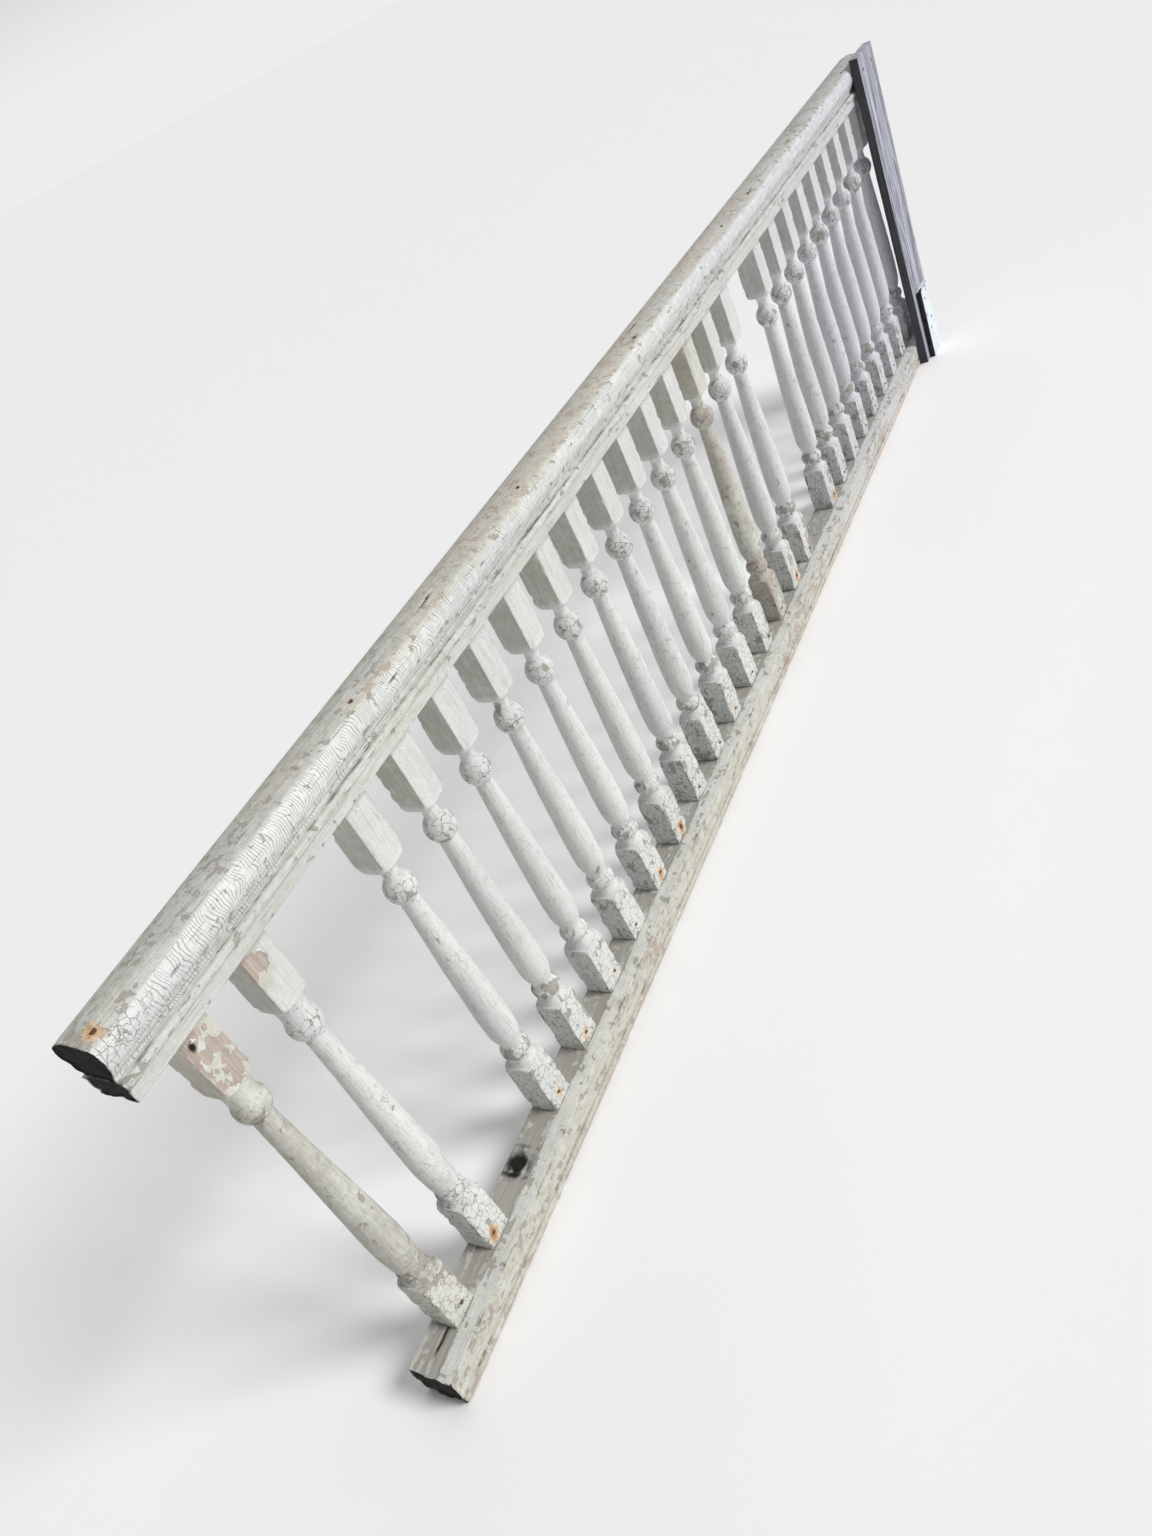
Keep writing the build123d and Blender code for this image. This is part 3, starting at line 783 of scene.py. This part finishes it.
# Each rail: its node, outline and fields, how rough its ends are, what they carry (loss,
# cracking, dirt, rust, warmth, thinness) and a seed
RAILS = (
    ("bottom_rail", bottom_rail_outline, bottom_rail_fields, 3.0, (0.9, 0, 0.9, 0, 0.6, 1), 11),
    ("sub_rail", sub_rail_outline, sub_rail_fields, 3.0, (0.9, 0, 1, 0, 0.4, 1), 12),
    ("cap_rail", cap_outline, cap_fields, 3.5, (0.9, 0, 1, 0, 0.4, 1), 13),
)


# Balusters

HEAD_BLOCK, RINGED_HEAD_BLOCK, FOOT_BLOCK = 104.0, 99.0, 95.0
FULL = BLANK / 2 - 0.5
CORNER = BLANK * math.sqrt(0.5) + 0.6
TONGUE = 29.6        # radius where the corners' slope stops, two thirds of each flat being left
CORNER_MIDDLE = (CORNER + TONGUE) / 2 + 1.0
SLOPE_SHARE = 0.38   # of the height from the square to the neck


def shoulder_points(square, inward, neck, neck_height):
    """(height, radius): the corners sloped off, a sharp step in, and a cove to a neck."""
    slope = (neck_height - square) * SLOPE_SHARE
    edge = (square + slope, TONGUE)
    inner = (square + slope + 1.4 * inward, FULL - 1.2)
    rounded = arc((square, CORNER), (square + slope / 2, CORNER_MIDDLE), edge)
    hollow = arc(inner, ((inner[0] * 2 + neck_height) / 3, neck + 1.8), (neck_height, neck))
    points = [*rounded, *hollow]
    return points if inward > 0 else points[::-1]


def shaft_points(knots, start, end):
    """(height, radius) along the smooth swell of a shaft between its own knots."""
    knots = np.array(knots)
    heights = np.linspace(start, end, 60)
    return list(zip(heights, hermite(heights, knots[:, 0], knots[:, 1])))


def tapered(steps, low, high):
    return [(low + share * (high - low), FULL - cut) for share, cut in steps]


def beaded_outline():
    """(height, radius): square foot, ring, belly, long taper, ball bead, square head."""
    length = SOFFIT - SEAT
    head = length - HEAD_BLOCK
    low, high, belly_foot, belly = (FOOT_BLOCK + rise for rise in (29, 51, 60, 105))
    bead_low, bead_high = head - 86, head - 43
    taper = tapered(((0.284, 1.4), (0.6, 4.5), (0.855, 8.1)), belly, bead_low)
    swell = [(belly_foot, 18.3), (belly_foot + 20, FULL - 1), (belly, FULL)]
    knots = [*swell, *taper, (bead_low, 14.5)]
    return [
        (0, CORNER), (FOOT_BLOCK, CORNER), *shoulder_points(FOOT_BLOCK, 1, 19.0, low),
        *arc((low, 20.5), ((low + high) / 2, FULL), (high, 19.0)),
        *arc((high, 19.0), ((high + belly_foot) / 2, 17.5), (belly_foot, 18.3)),
        *shaft_points(knots, belly_foot, bead_low)[1:],
        *arc((bead_low, 14.5), ((bead_low + bead_high) / 2, FULL), (bead_high, 13.5)),
        (bead_high + 3, 12.5), (bead_high + 7, 12.5),
        *shoulder_points(head, -1, 12.5, bead_high + 7), (length, CORNER),
    ]


def ringed_outline():
    """(height, radius): square foot, step, full belly, taper, flat ring, cove, square head."""
    length = SOFFIT - SEAT
    head = length - RINGED_HEAD_BLOCK
    step, belly = FOOT_BLOCK + 27, FOOT_BLOCK + 88
    waist = step + 9
    low, high = head - 70, head - 43
    taper = tapered(((0.192, 1.0), (0.415, 3.5), (0.655, 6.5)), belly, low)
    knots = [(waist, 20.0), (waist + 15, 21.7), (belly, FULL), *taper, (low, 15.0)]
    full = (head - 9.5, FULL - 1)
    return [
        (0, CORNER), (FOOT_BLOCK, CORNER), *shoulder_points(FOOT_BLOCK, 1, 20.5, step),
        (step + 0.4, 23.0), (step + 6, 23.0), (waist, 20.0), *shaft_points(knots, waist, low)[1:],
        (low + 0.4, 21.0), *arc((low + 0.5, 21.0), ((low + high) / 2, FULL), (high, 21.0)),
        *arc((high, 21.0), (high + 9, 20.0), full)[1:],
        *arc((head - 8.3, TONGUE), (head - 4, CORNER_MIDDLE), (head, CORNER)),
        (length, CORNER),
    ]


# The ring above a baluster's foot block and the bead below its head block, each at its middle,
# and the crevices beside them, by their distance from the block
BEADED_WEAR, RINGED_WEAR = (42, 64), (30, 56)
RING_CREVICES, BEAD_CREVICES = ((27, 3.2), (55, 4)), ((40, 3.2), (87, 3))
# How each baluster differs: extra paint loss, cream warmth, thinness
ODD_BALUSTERS = {1: (0.12, 0.45, 0.7), 15: (0.1, 0.7, 0.85)}
RUSTY_FEET = {
    2: 0.95, 4: 0.45, 5: 0.5, 6: 0.35, 8: 0.7, 9: 1.1, 12: 0.4, 16: 0.9, 19: 0.9, 21: 0.4,
}


def turned_rings(centre, outline, columns, spacing):
    """Rings where turning cuts square stock: r = min(R, half / max(|cos|, |sin|))."""
    profile = divided(outline, spacing)
    angle = np.arange(columns) * 2 * math.pi / columns
    stock = BLANK / 2 / np.maximum(np.abs(np.cos(angle)), np.abs(np.sin(angle)))
    radius = np.minimum(profile[:, 1:], stock)
    heights = profile[:, 0]
    rings = np.empty((len(profile), columns, 3))
    rings[..., 0] = centre[0] + radius * np.cos(angle)
    rings[..., 1] = centre[1] + radius * np.sin(angle)
    rings[..., 2] = SEAT + heights[:, None]
    arris = band(np.abs(np.sin(2 * angle)), 0.93, 1.0) * band(radius, FULL + 6, FULL + 9.5)
    return rings, heights[:, None] + 0 * radius, arris


def baluster_fields(slot, rings, height, arris):
    """Sound paint on the shaft, flaking at the ring, bead and foot, and rust at the toe-nail."""
    ringed = slot in RINGED
    head = SOFFIT - SEAT - (RINGED_HEAD_BLOCK if ringed else HEAD_BLOCK)
    ring_rise, bead_drop = RINGED_WEAR if ringed else BEADED_WEAR
    ring = bump(height, FOOT_BLOCK + ring_rise, 17)
    bead = bump(height, head - bead_drop, 20) * (0.45 if ringed else 1.0)
    foot = 1 - band(height, FOOT_BLOCK, FOOT_BLOCK + 16)
    crown = band(height, head - 12, head)
    extra, warm, thin = ODD_BALUSTERS.get(slot, (0.0, 0.0, 0.0))
    chance = np.random.default_rng(400 + slot).random(4)
    fine = cloud(rings, (13, 13, 21), 50 + slot)
    broad = cloud(rings, (40, 40, 90), 90 + slot)
    wounds = 0.17 * foot + 0.31 * ring + 0.22 * bead + 0.16 * arris * foot + 0.1 * arris * crown
    loss = fine - 0.43 + wounds * (0.85 + 0.5 * chance[0]) + extra
    loss += 0.35 * (broad - 0.5) * (foot + ring) - 0.1 * crown
    # The head block's side faces: the darkening there is painted shade, and the added warmth and
    # thinness give them a tan paint.
    head_sides_shade_and_tan = crown * band(np.abs(rings[..., 0] - rings[..., 0].mean()), FULL - 2.5, FULL - 0.5)
    cracking = 0.25 + 0.35 * ring + 0.4 * bead + 0.28 * foot + 0.12 * chance[1] - 0.2 * crown
    x, y, z = np.moveaxis(rings, -1, 0)
    front = 1 - band(y, BLANK_FRONT + 1, BLANK_FRONT + 4)
    middle = FIRST_LOW[0] + BLANK / 2 + (slot - 1) * PITCH
    nail_x = middle + 7 * math.sin(2.4 * slot)
    drop = SEAT + 20 - z
    streak = np.where(drop > 0, drop / 19, -drop / 12)
    strength = RUSTY_FEET.get(slot, 0.12 * chance[2])
    rust = strength * np.exp(-(((x - nail_x) / 10) ** 2) - streak**2) * front
    crevice = sum(bump(height, FOOT_BLOCK + rise, width) for rise, width in RING_CREVICES)
    if not ringed:
        crevice += sum(bump(height, head - drop, width) for drop, width in BEAD_CREVICES)
    flecks = band(cloud(rings, (4, 4, 9), 130 + slot, 2), 0.7, 0.8)
    dirt_and_shade = 0.34 * crevice * band(broad, 0.35, 0.6) + 0.3 * flecks * (0.2 + ring + foot + bead)
    # The first term darkens the lowest 2.5 mm, where the baluster sits on the rail: grime with
    # painted contact shadow. The last term is painted shade on the head block's sides.
    dirt_and_shade += 0.5 * (1 - band(height, 0, 2.5)) * band(fine, 0.4, 0.6) + 0.2 * head_sides_shade_and_tan
    warmth = 0.08 + warm * (0.55 + 0.6 * (broad - 0.2)) + 0.12 * chance[3] + 0.25 * head_sides_shade_and_tan
    thinness = 0.14 + thin * band(broad, 0.3, 0.6) + 0.12 * crown + 0.3 * head_sides_shade_and_tan
    if slot == 1:
        flaking_head = crown * front
        loss -= 0.14 * foot
        thinness = thinness * (1 - 0.6 * foot - 0.6 * flaking_head)
        loss += flaking_head * (0.385 + 0.6 * (cloud(rings, (9, 9, 12), 7) - 0.5))
        warmth += 0.3 * flaking_head
        mould = band(cloud(rings, (16, 16, 40), 8), 0.52, 0.68)
        mould = mould * band(height, 110, 160) * (1 - crown)
        dirt_and_shade += 0.3 * mould
        loss += 0.06 * mould
        dirt_and_shade += 1.1 * bump(x, middle - 12, 5) * bump(z, SOFFIT - 25, 8) * front
        dirt_and_shade += 0.9 * bump(x, nail_x, 4) * bump(z, SEAT + 18, 6) * front
    if slot == 2:
        chipped = bump(x, middle - 14, 22) * bump(z, SOFFIT - 30, 30) * front
        loss += 0.95 * chipped
        warmth += 0.95 * chipped
    return loss, cracking, dirt_and_shade, rust, warmth, thinness


def turn_baluster(slot, settings):
    """One baluster's skin, weathered by its own fields, in place of its node."""
    node = f"baluster_{slot:02d}"
    centre = sum(node_box(node)) / 2
    outline = ringed_outline() if slot in RINGED else beaded_outline()
    rings, height, arris = turned_rings(centre, outline, settings.columns, settings.spacing)
    loss, cracking, dirt_and_shade, rust, warmth, thinness = baluster_fields(slot, rings, height, arris)
    border = flakes(rings, (13, 13, 15), 60 + slot)
    curl = (1 - band(border, 0.02, 0.22)) * band(cracking, 0.4, 0.8)
    dents = cloud(rings, (8, 8, 12), 70 + slot, 2)
    cut = settings.film * band(loss, 0.46, 0.53) + 0.25 * curl + 0.22 * dents
    cut += arris * (0.9 + 2.4 * band(dents, 0.5, 0.75))
    rings = rings - normals_of(rings) * cut[..., None]
    rings[..., 2] = np.clip(rings[..., 2], SEAT, SOFFIT)
    wear = padded_fields((loss, cracking, dirt_and_shade))
    stain = padded_fields((rust, warmth, thinness, np.full_like(loss, band(slot, 13, 24))))
    rings = closed(rings, axis=2, roughness=0.0, seed=slot)
    make_piece(node, rings, wear, stain, finish("baluster_paint"))


# The end board and its cleat


def upright(low, high, spacing, edge):
    """Rings of a rectangle with softened corners, one each spacing up from low to high."""
    x0, y0, x1, y1 = low[0], low[1], high[0], high[1]
    corners = [
        (x0 + edge, y0), (x1 - edge, y0), (x1, y0 + edge), (x1, y1 - edge),
        (x1 - edge, y1), (x0 + edge, y1), (x0, y1 - edge), (x0, y0 + edge),
    ]
    section = divided([*corners, corners[0]], spacing)[:-1]
    stations = np.linspace(low[2], high[2], int((high[2] - low[2]) / spacing) + 1)
    rings = np.empty((len(stations), len(section), 3))
    rings[..., :2] = section[None]
    rings[..., 2] = stations[:, None]
    return rings


CHECKS = 26


def board_checks(rings):
    """Long open checks: thin bells across the grain, scattered, each over its own stretch."""
    x, z = rings[..., 0], rings[..., 2]
    chance = np.random.default_rng(77).random((CHECKS, 4))
    width = BOARD_HIGH[0] - BOARD_LOW[0]
    total = np.zeros_like(x)
    for place, height, length, lean in chance:
        centre = BOARD_LOW[0] + width * (0.06 + 0.88 * place) + 5 * np.sin(z / 90 + 9 * lean)
        reach = bump(z, BOARD_HIGH[2] * height, 60 + 190 * length)
        total = np.maximum(total, bump(x, centre, 1.7) * reach)
    return total


# The settings


def tone(name, description, colour):
    return FloatVectorProperty(
        name=name, description=description, subtype="COLOR", default=colour, min=0.0, max=1.0
    )


def number(name, description, default, **more):
    return FloatProperty(name=name, description=description, default=default, **more)


class PorchTones(bpy.types.PropertyGroup):
    white: tone("White", "Sound paint", (0.80, 0.81, 0.79))
    shade: tone("Shade", "Cooler, dulled paint", (0.66, 0.69, 0.70))
    cool: tone("Cool", "Paint at the far end", (0.68, 0.69, 0.76))
    cream: tone("Cream", "Yellowed paint", (0.61, 0.61, 0.485))
    weathered: tone("Weathered", "Silvered wood under thin paint", (0.42, 0.41, 0.37))
    bare: tone("Bare", "Pinkish bare wood", (0.56, 0.46, 0.40))
    # Grain is also the colour of the painted shadow along the lifted edges of paint flakes.
    grain: tone("Grain", "Dark grain lines", (0.20, 0.18, 0.15))
    fresh: tone("Fresh", "Tan wood", (0.42, 0.31, 0.22))
    crack: tone("Crack", "Depth of a crack", (0.07, 0.06, 0.05))
    # This black is also used for painted shade: on the near sides of the end board and the cleat,
    # and on the head blocks' sides.
    black: tone("Rot", "Rot and mould", (0.007, 0.007, 0.006))
    rust: tone("Rust", "Pale rust stain", (0.72, 0.50, 0.27))
    deep_rust: tone("Deep rust", "Rust beside a nail", (0.44, 0.19, 0.06))
    iron: tone("Iron", "Dark iron", (0.07, 0.045, 0.035))
    board: tone("Board", "Silvered lumber", (0.60, 0.62, 0.71))
    board_dark: tone("Board dark", "Its dark grain", (0.20, 0.20, 0.25))
    board_light: tone("Board light", "Its pale blotches", (0.56, 0.56, 0.60))
    cleat: tone("Cleat", "Cool white paint", (0.86, 0.94, 1.0))


class PorchRails(bpy.types.PropertyGroup):
    spacing: number("Spacing", "Between rings, in millimetres", 3.6, min=1.0)
    film: number("Film", "Thickness of the old paint, in millimetres", 0.7, min=0.0)


class PorchBalusters(bpy.types.PropertyGroup):
    columns: IntProperty(
        name="Columns", description="Points round each ring, a multiple of 8", default=64, min=16
    )
    spacing: number("Spacing", "Between rings, in millimetres", 2.9, min=1.0)
    film: number("Film", "Thickness of the old paint, in millimetres", 0.75, min=0.0)


class PorchStage(bpy.types.PropertyGroup):
    floor: tone("Floor", "Floor colour", (0.92, 0.92, 0.92))
    reach: number("Reach", "Floor's radius", 90.0, subtype="DISTANCE")
    key: number("Key", "Main light's strength, from the front", 2.5)
    top: number("Top", "Overhead light's strength", 1.0)
    horizon: number("Horizon", "Brightness of the sky at the floor's edge", 0.86)
    sky: number("Sky", "Brightness of the sky overhead", 0.1)
    lens: number("Lens", "Focal length", 26.84, subtype="DISTANCE_CAMERA")
    eye: FloatVectorProperty(
        name="Eye", description="Camera's place", subtype="TRANSLATION",
        default=(-1.8753, -1.0306, 1.4493),
    )
    heading: number("Heading", "From +Y towards +X, in degrees", 48.05)
    pitch: number("Pitch", "Below the horizon, in degrees", 34.45)
    roll: number("Roll", "Camera's lean, in degrees", 28.39)


class PORCH_OT_rails(bpy.types.Operator):
    """Lays the weathered skins of the bottom rail, the sub-rail and the cap"""

    bl_idname = "porch.rails"
    bl_label = "Rails"

    def execute(self, context):
        for rail in RAILS:
            lay_rail(context.scene.porch_rails, *rail)
        return {"FINISHED"}


class PORCH_OT_balusters(bpy.types.Operator):
    """Turns every baluster's weathered skin"""

    bl_idname = "porch.balusters"
    bl_label = "Balusters"

    def execute(self, context):
        for slot in SLOTS:
            turn_baluster(slot, context.scene.porch_balusters)
        return {"FINISHED"}


class PORCH_OT_end_board(bpy.types.Operator):
    """Makes the rough end board with its open checks"""

    bl_idname = "porch.end_board"
    bl_label = "End board"

    def execute(self, context):
        rings = upright(BOARD_LOW, BOARD_HIGH, spacing=3.4, edge=1.2)
        checks = board_checks(rings)
        saw = cloud(rings, (5, 5, 60), 81)
        cut = 1.6 * checks + 0.9 * saw
        rings = rings - normals_of(rings) * cut[..., None]
        # The board's narrow side towards the near end is darkened towards black: painted shade.
        shaded_near_side = 1 - band(rings[..., 0], BOARD_LOW[0] + 2, BOARD_LOW[0] + 4)
        nothing = np.zeros_like(checks)
        wear = padded_fields((checks, nothing, 0.72 * shaded_near_side), (0.0, None, 0.1))
        stain = padded_fields((nothing,) * 3)
        rings = closed(rings, axis=2, roughness=1.5, seed=5)
        make_piece("end_board", rings, wear, stain, finish("weathered_lumber"))
        return {"FINISHED"}


class PORCH_OT_foot_cleat(bpy.types.Operator):
    """Makes the painted cleat with its rounded lower corner"""

    bl_idname = "porch.foot_cleat"
    bl_label = "Foot cleat"

    def execute(self, context):
        radius = 14.0
        rings = upright(CLEAT_LOW, CLEAT_HIGH, spacing=2.6, edge=1.5)
        rise = np.clip(radius - (rings[..., 2] - CLEAT_LOW[2]), 0, radius)
        cut_back = radius - np.sqrt(radius**2 - rise**2)
        width = CLEAT_HIGH[0] - CLEAT_LOW[0]
        share = (rings[..., 0] - CLEAT_LOW[0]) / width
        rings[..., 0] = CLEAT_LOW[0] + share * (width - cut_back)
        loss = cloud(rings, (9, 9, 14), 85) - 0.24
        dents = cloud(rings, (12, 12, 30), 86, 2)
        cut = 0.5 * band(loss, 0.46, 0.53) + 0.5 * dents
        rings = rings - normals_of(rings) * cut[..., None]
        # The cleat's narrow side towards the near end is darkened almost to black: painted shade.
        shaded_near_side = 1 - band(rings[..., 0], CLEAT_LOW[0] + 1.5, CLEAT_LOW[0] + 3)
        low = np.full_like(loss, 0.15)
        wear = padded_fields((loss, low, 0.95 * shaded_near_side))
        stain = padded_fields((0 * low, 0 * low, low))
        rings = closed(rings, axis=2, roughness=0.8, seed=6)
        make_piece("foot_cleat", rings, wear, stain, finish("cleat_paint"))
        return {"FINISHED"}


class PORCH_OT_nails(bpy.types.Operator):
    """Gives the nails their rusty iron, and the head toe-nails a painted-over iron"""

    bl_idname = "porch.nails"
    bl_label = "Nails"

    def execute(self, context):
        for name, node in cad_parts.items():
            if name.endswith("_nails"):
                node.data.materials.clear()
                coat = "painted_iron" if name == "head_toe_nails" else "rusty_iron"
                node.data.materials.append(finish(coat))
        return {"FINISHED"}


FLOOR_RINGS, FLOOR_COLUMNS = 12, 48
# Each light: its name, the direction it comes from, the setting with its strength, its width
SUNS = (
    ("key_light", (0.22, -0.74, 0.63), "key", 22.0),
    ("top_light", (0.25, 0.1, 1.0), "top", 60.0),
)
HAZE = (0.02, 0.28)    # the heights, as a share of straight up, between which the sky darkens


def lay_floor(stage):
    """A flat round floor in rings whose radius grows by a constant ratio."""
    radius = np.geomspace(0.5, stage.reach, FLOOR_RINGS)
    turn = np.arange(FLOOR_COLUMNS) * 2 * math.pi / FLOOR_COLUMNS
    flat = np.zeros((FLOOR_RINGS, FLOOR_COLUMNS))
    points = np.stack([np.outer(radius, np.cos(turn)), np.outer(radius, np.sin(turn)), flat], -1)
    points = np.concatenate([points.reshape(-1, 3), [[0, 0, 0]]])
    quads, column, following = ring_faces(FLOOR_RINGS, FLOOR_COLUMNS)
    hub = np.stack([np.full(FLOOR_COLUMNS, len(points) - 1), column, following], -1)
    mesh = bpy.data.meshes.new("pale_floor")
    mesh.from_pydata(points.tolist(), [], quads[:, ::-1].tolist() + hub.tolist())
    floor = bpy.data.objects.new("pale_floor", mesh)
    bpy.context.scene.collection.objects.link(floor)
    paint = Recipe("pale_floor")
    paint.put(paint.shader.inputs["Base Color"], stage.floor)
    paint.put(paint.shader.inputs["Roughness"], 0.9)
    mesh.materials.append(paint.material)


def light_sky(stage):
    """A sky that is bright at the horizon and dim overhead, by the height of the direction."""
    world = bpy.data.worlds.new("soft_sky")
    bpy.context.scene.world = world
    world.use_nodes = True
    nodes, links = world.node_tree.nodes, world.node_tree.links
    height = nodes.new("ShaderNodeSeparateXYZ")
    links.new(nodes.new("ShaderNodeTexCoord").outputs["Generated"], height.inputs[0])
    fall = nodes.new("ShaderNodeMapRange")
    fall.interpolation_type = "SMOOTHSTEP"
    limits = (*HAZE, stage.horizon, stage.sky)
    for socket, value in zip(("From Min", "From Max", "To Min", "To Max"), limits):
        fall.inputs[socket].default_value = value
    links.new(height.outputs["Z"], fall.inputs["Value"])
    links.new(fall.outputs[0], nodes["Background"].inputs["Strength"])
    nodes["Background"].inputs["Color"].default_value = (0.98, 0.99, 1.0, 1.0)


def hang_suns(stage):
    """Wide, soft suns, each turned so that its light comes from its direction."""
    for name, place, strength, angle in SUNS:
        lamp = bpy.data.lights.new(name, "SUN")
        lamp.energy = getattr(stage, strength)
        lamp.angle = math.radians(angle)
        light = bpy.data.objects.new(name, lamp)
        light.rotation_euler = (-Vector(place)).to_track_quat("-Z", "Y").to_euler()
        bpy.context.scene.collection.objects.link(light)


def stand_camera(stage):
    """The camera at its place, turned by its heading, then its pitch, then its roll."""
    data = bpy.data.cameras.new("camera")
    data.lens = stage.lens
    data.sensor_width = 36.0
    camera = bpy.data.objects.new("camera", data)
    turned = Matrix.Rotation(-math.radians(stage.heading), 4, "Z")
    tilted = Matrix.Rotation(math.radians(90 - stage.pitch), 4, "X")
    leaned = Matrix.Rotation(-math.radians(stage.roll), 4, "Z")
    camera.matrix_world = Matrix.Translation(stage.eye) @ turned @ tilted @ leaned
    bpy.context.scene.collection.objects.link(camera)
    bpy.context.scene.camera = camera


class PORCH_OT_stage(bpy.types.Operator):
    """Sets the pale floor, the soft lights and the camera"""

    bl_idname = "porch.stage"
    bl_label = "Stage"

    def execute(self, context):
        stage = context.scene.porch_stage
        lay_floor(stage)
        light_sky(stage)
        hang_suns(stage)
        stand_camera(stage)
        context.scene.view_settings.view_transform = "Standard"
        return {"FINISHED"}


PIECES = ("stage", "rails", "balusters", "end_board", "foot_cleat", "nails")


class PORCH_PT_panel(bpy.types.Panel):
    """Lists the pieces and their settings"""

    bl_idname = "PORCH_PT_panel"
    bl_label = "Porch balustrade"
    bl_space_type = "VIEW_3D"
    bl_region_type = "UI"
    bl_category = "Porch"

    def draw(self, context):
        for group in SETTINGS:
            box = self.layout.box()
            for field in getattr(context.scene, group).bl_rna.properties.keys():
                if field not in ("rna_type", "name"):
                    box.prop(getattr(context.scene, group), field)
        for piece in PIECES:
            self.layout.operator("porch." + piece)


SETTINGS = {
    "porch_tones": PorchTones,
    "porch_rails": PorchRails,
    "porch_balusters": PorchBalusters,
    "porch_stage": PorchStage,
}
OPERATORS = (
    PORCH_OT_stage, PORCH_OT_rails, PORCH_OT_balusters,
    PORCH_OT_end_board, PORCH_OT_foot_cleat, PORCH_OT_nails,
)


def register():
    for kind in (*SETTINGS.values(), *OPERATORS, PORCH_PT_panel):
        bpy.utils.register_class(kind)
    for group, kind in SETTINGS.items():
        setattr(bpy.types.Scene, group, PointerProperty(type=kind))


def unregister():
    for group in SETTINGS:
        delattr(bpy.types.Scene, group)
    for kind in reversed((*SETTINGS.values(), *OPERATORS, PORCH_PT_panel)):
        bpy.utils.unregister_class(kind)


def main():
    register()
    for piece in PIECES:
        getattr(bpy.ops.porch, piece)()


if __name__ == "__main__":
    main()
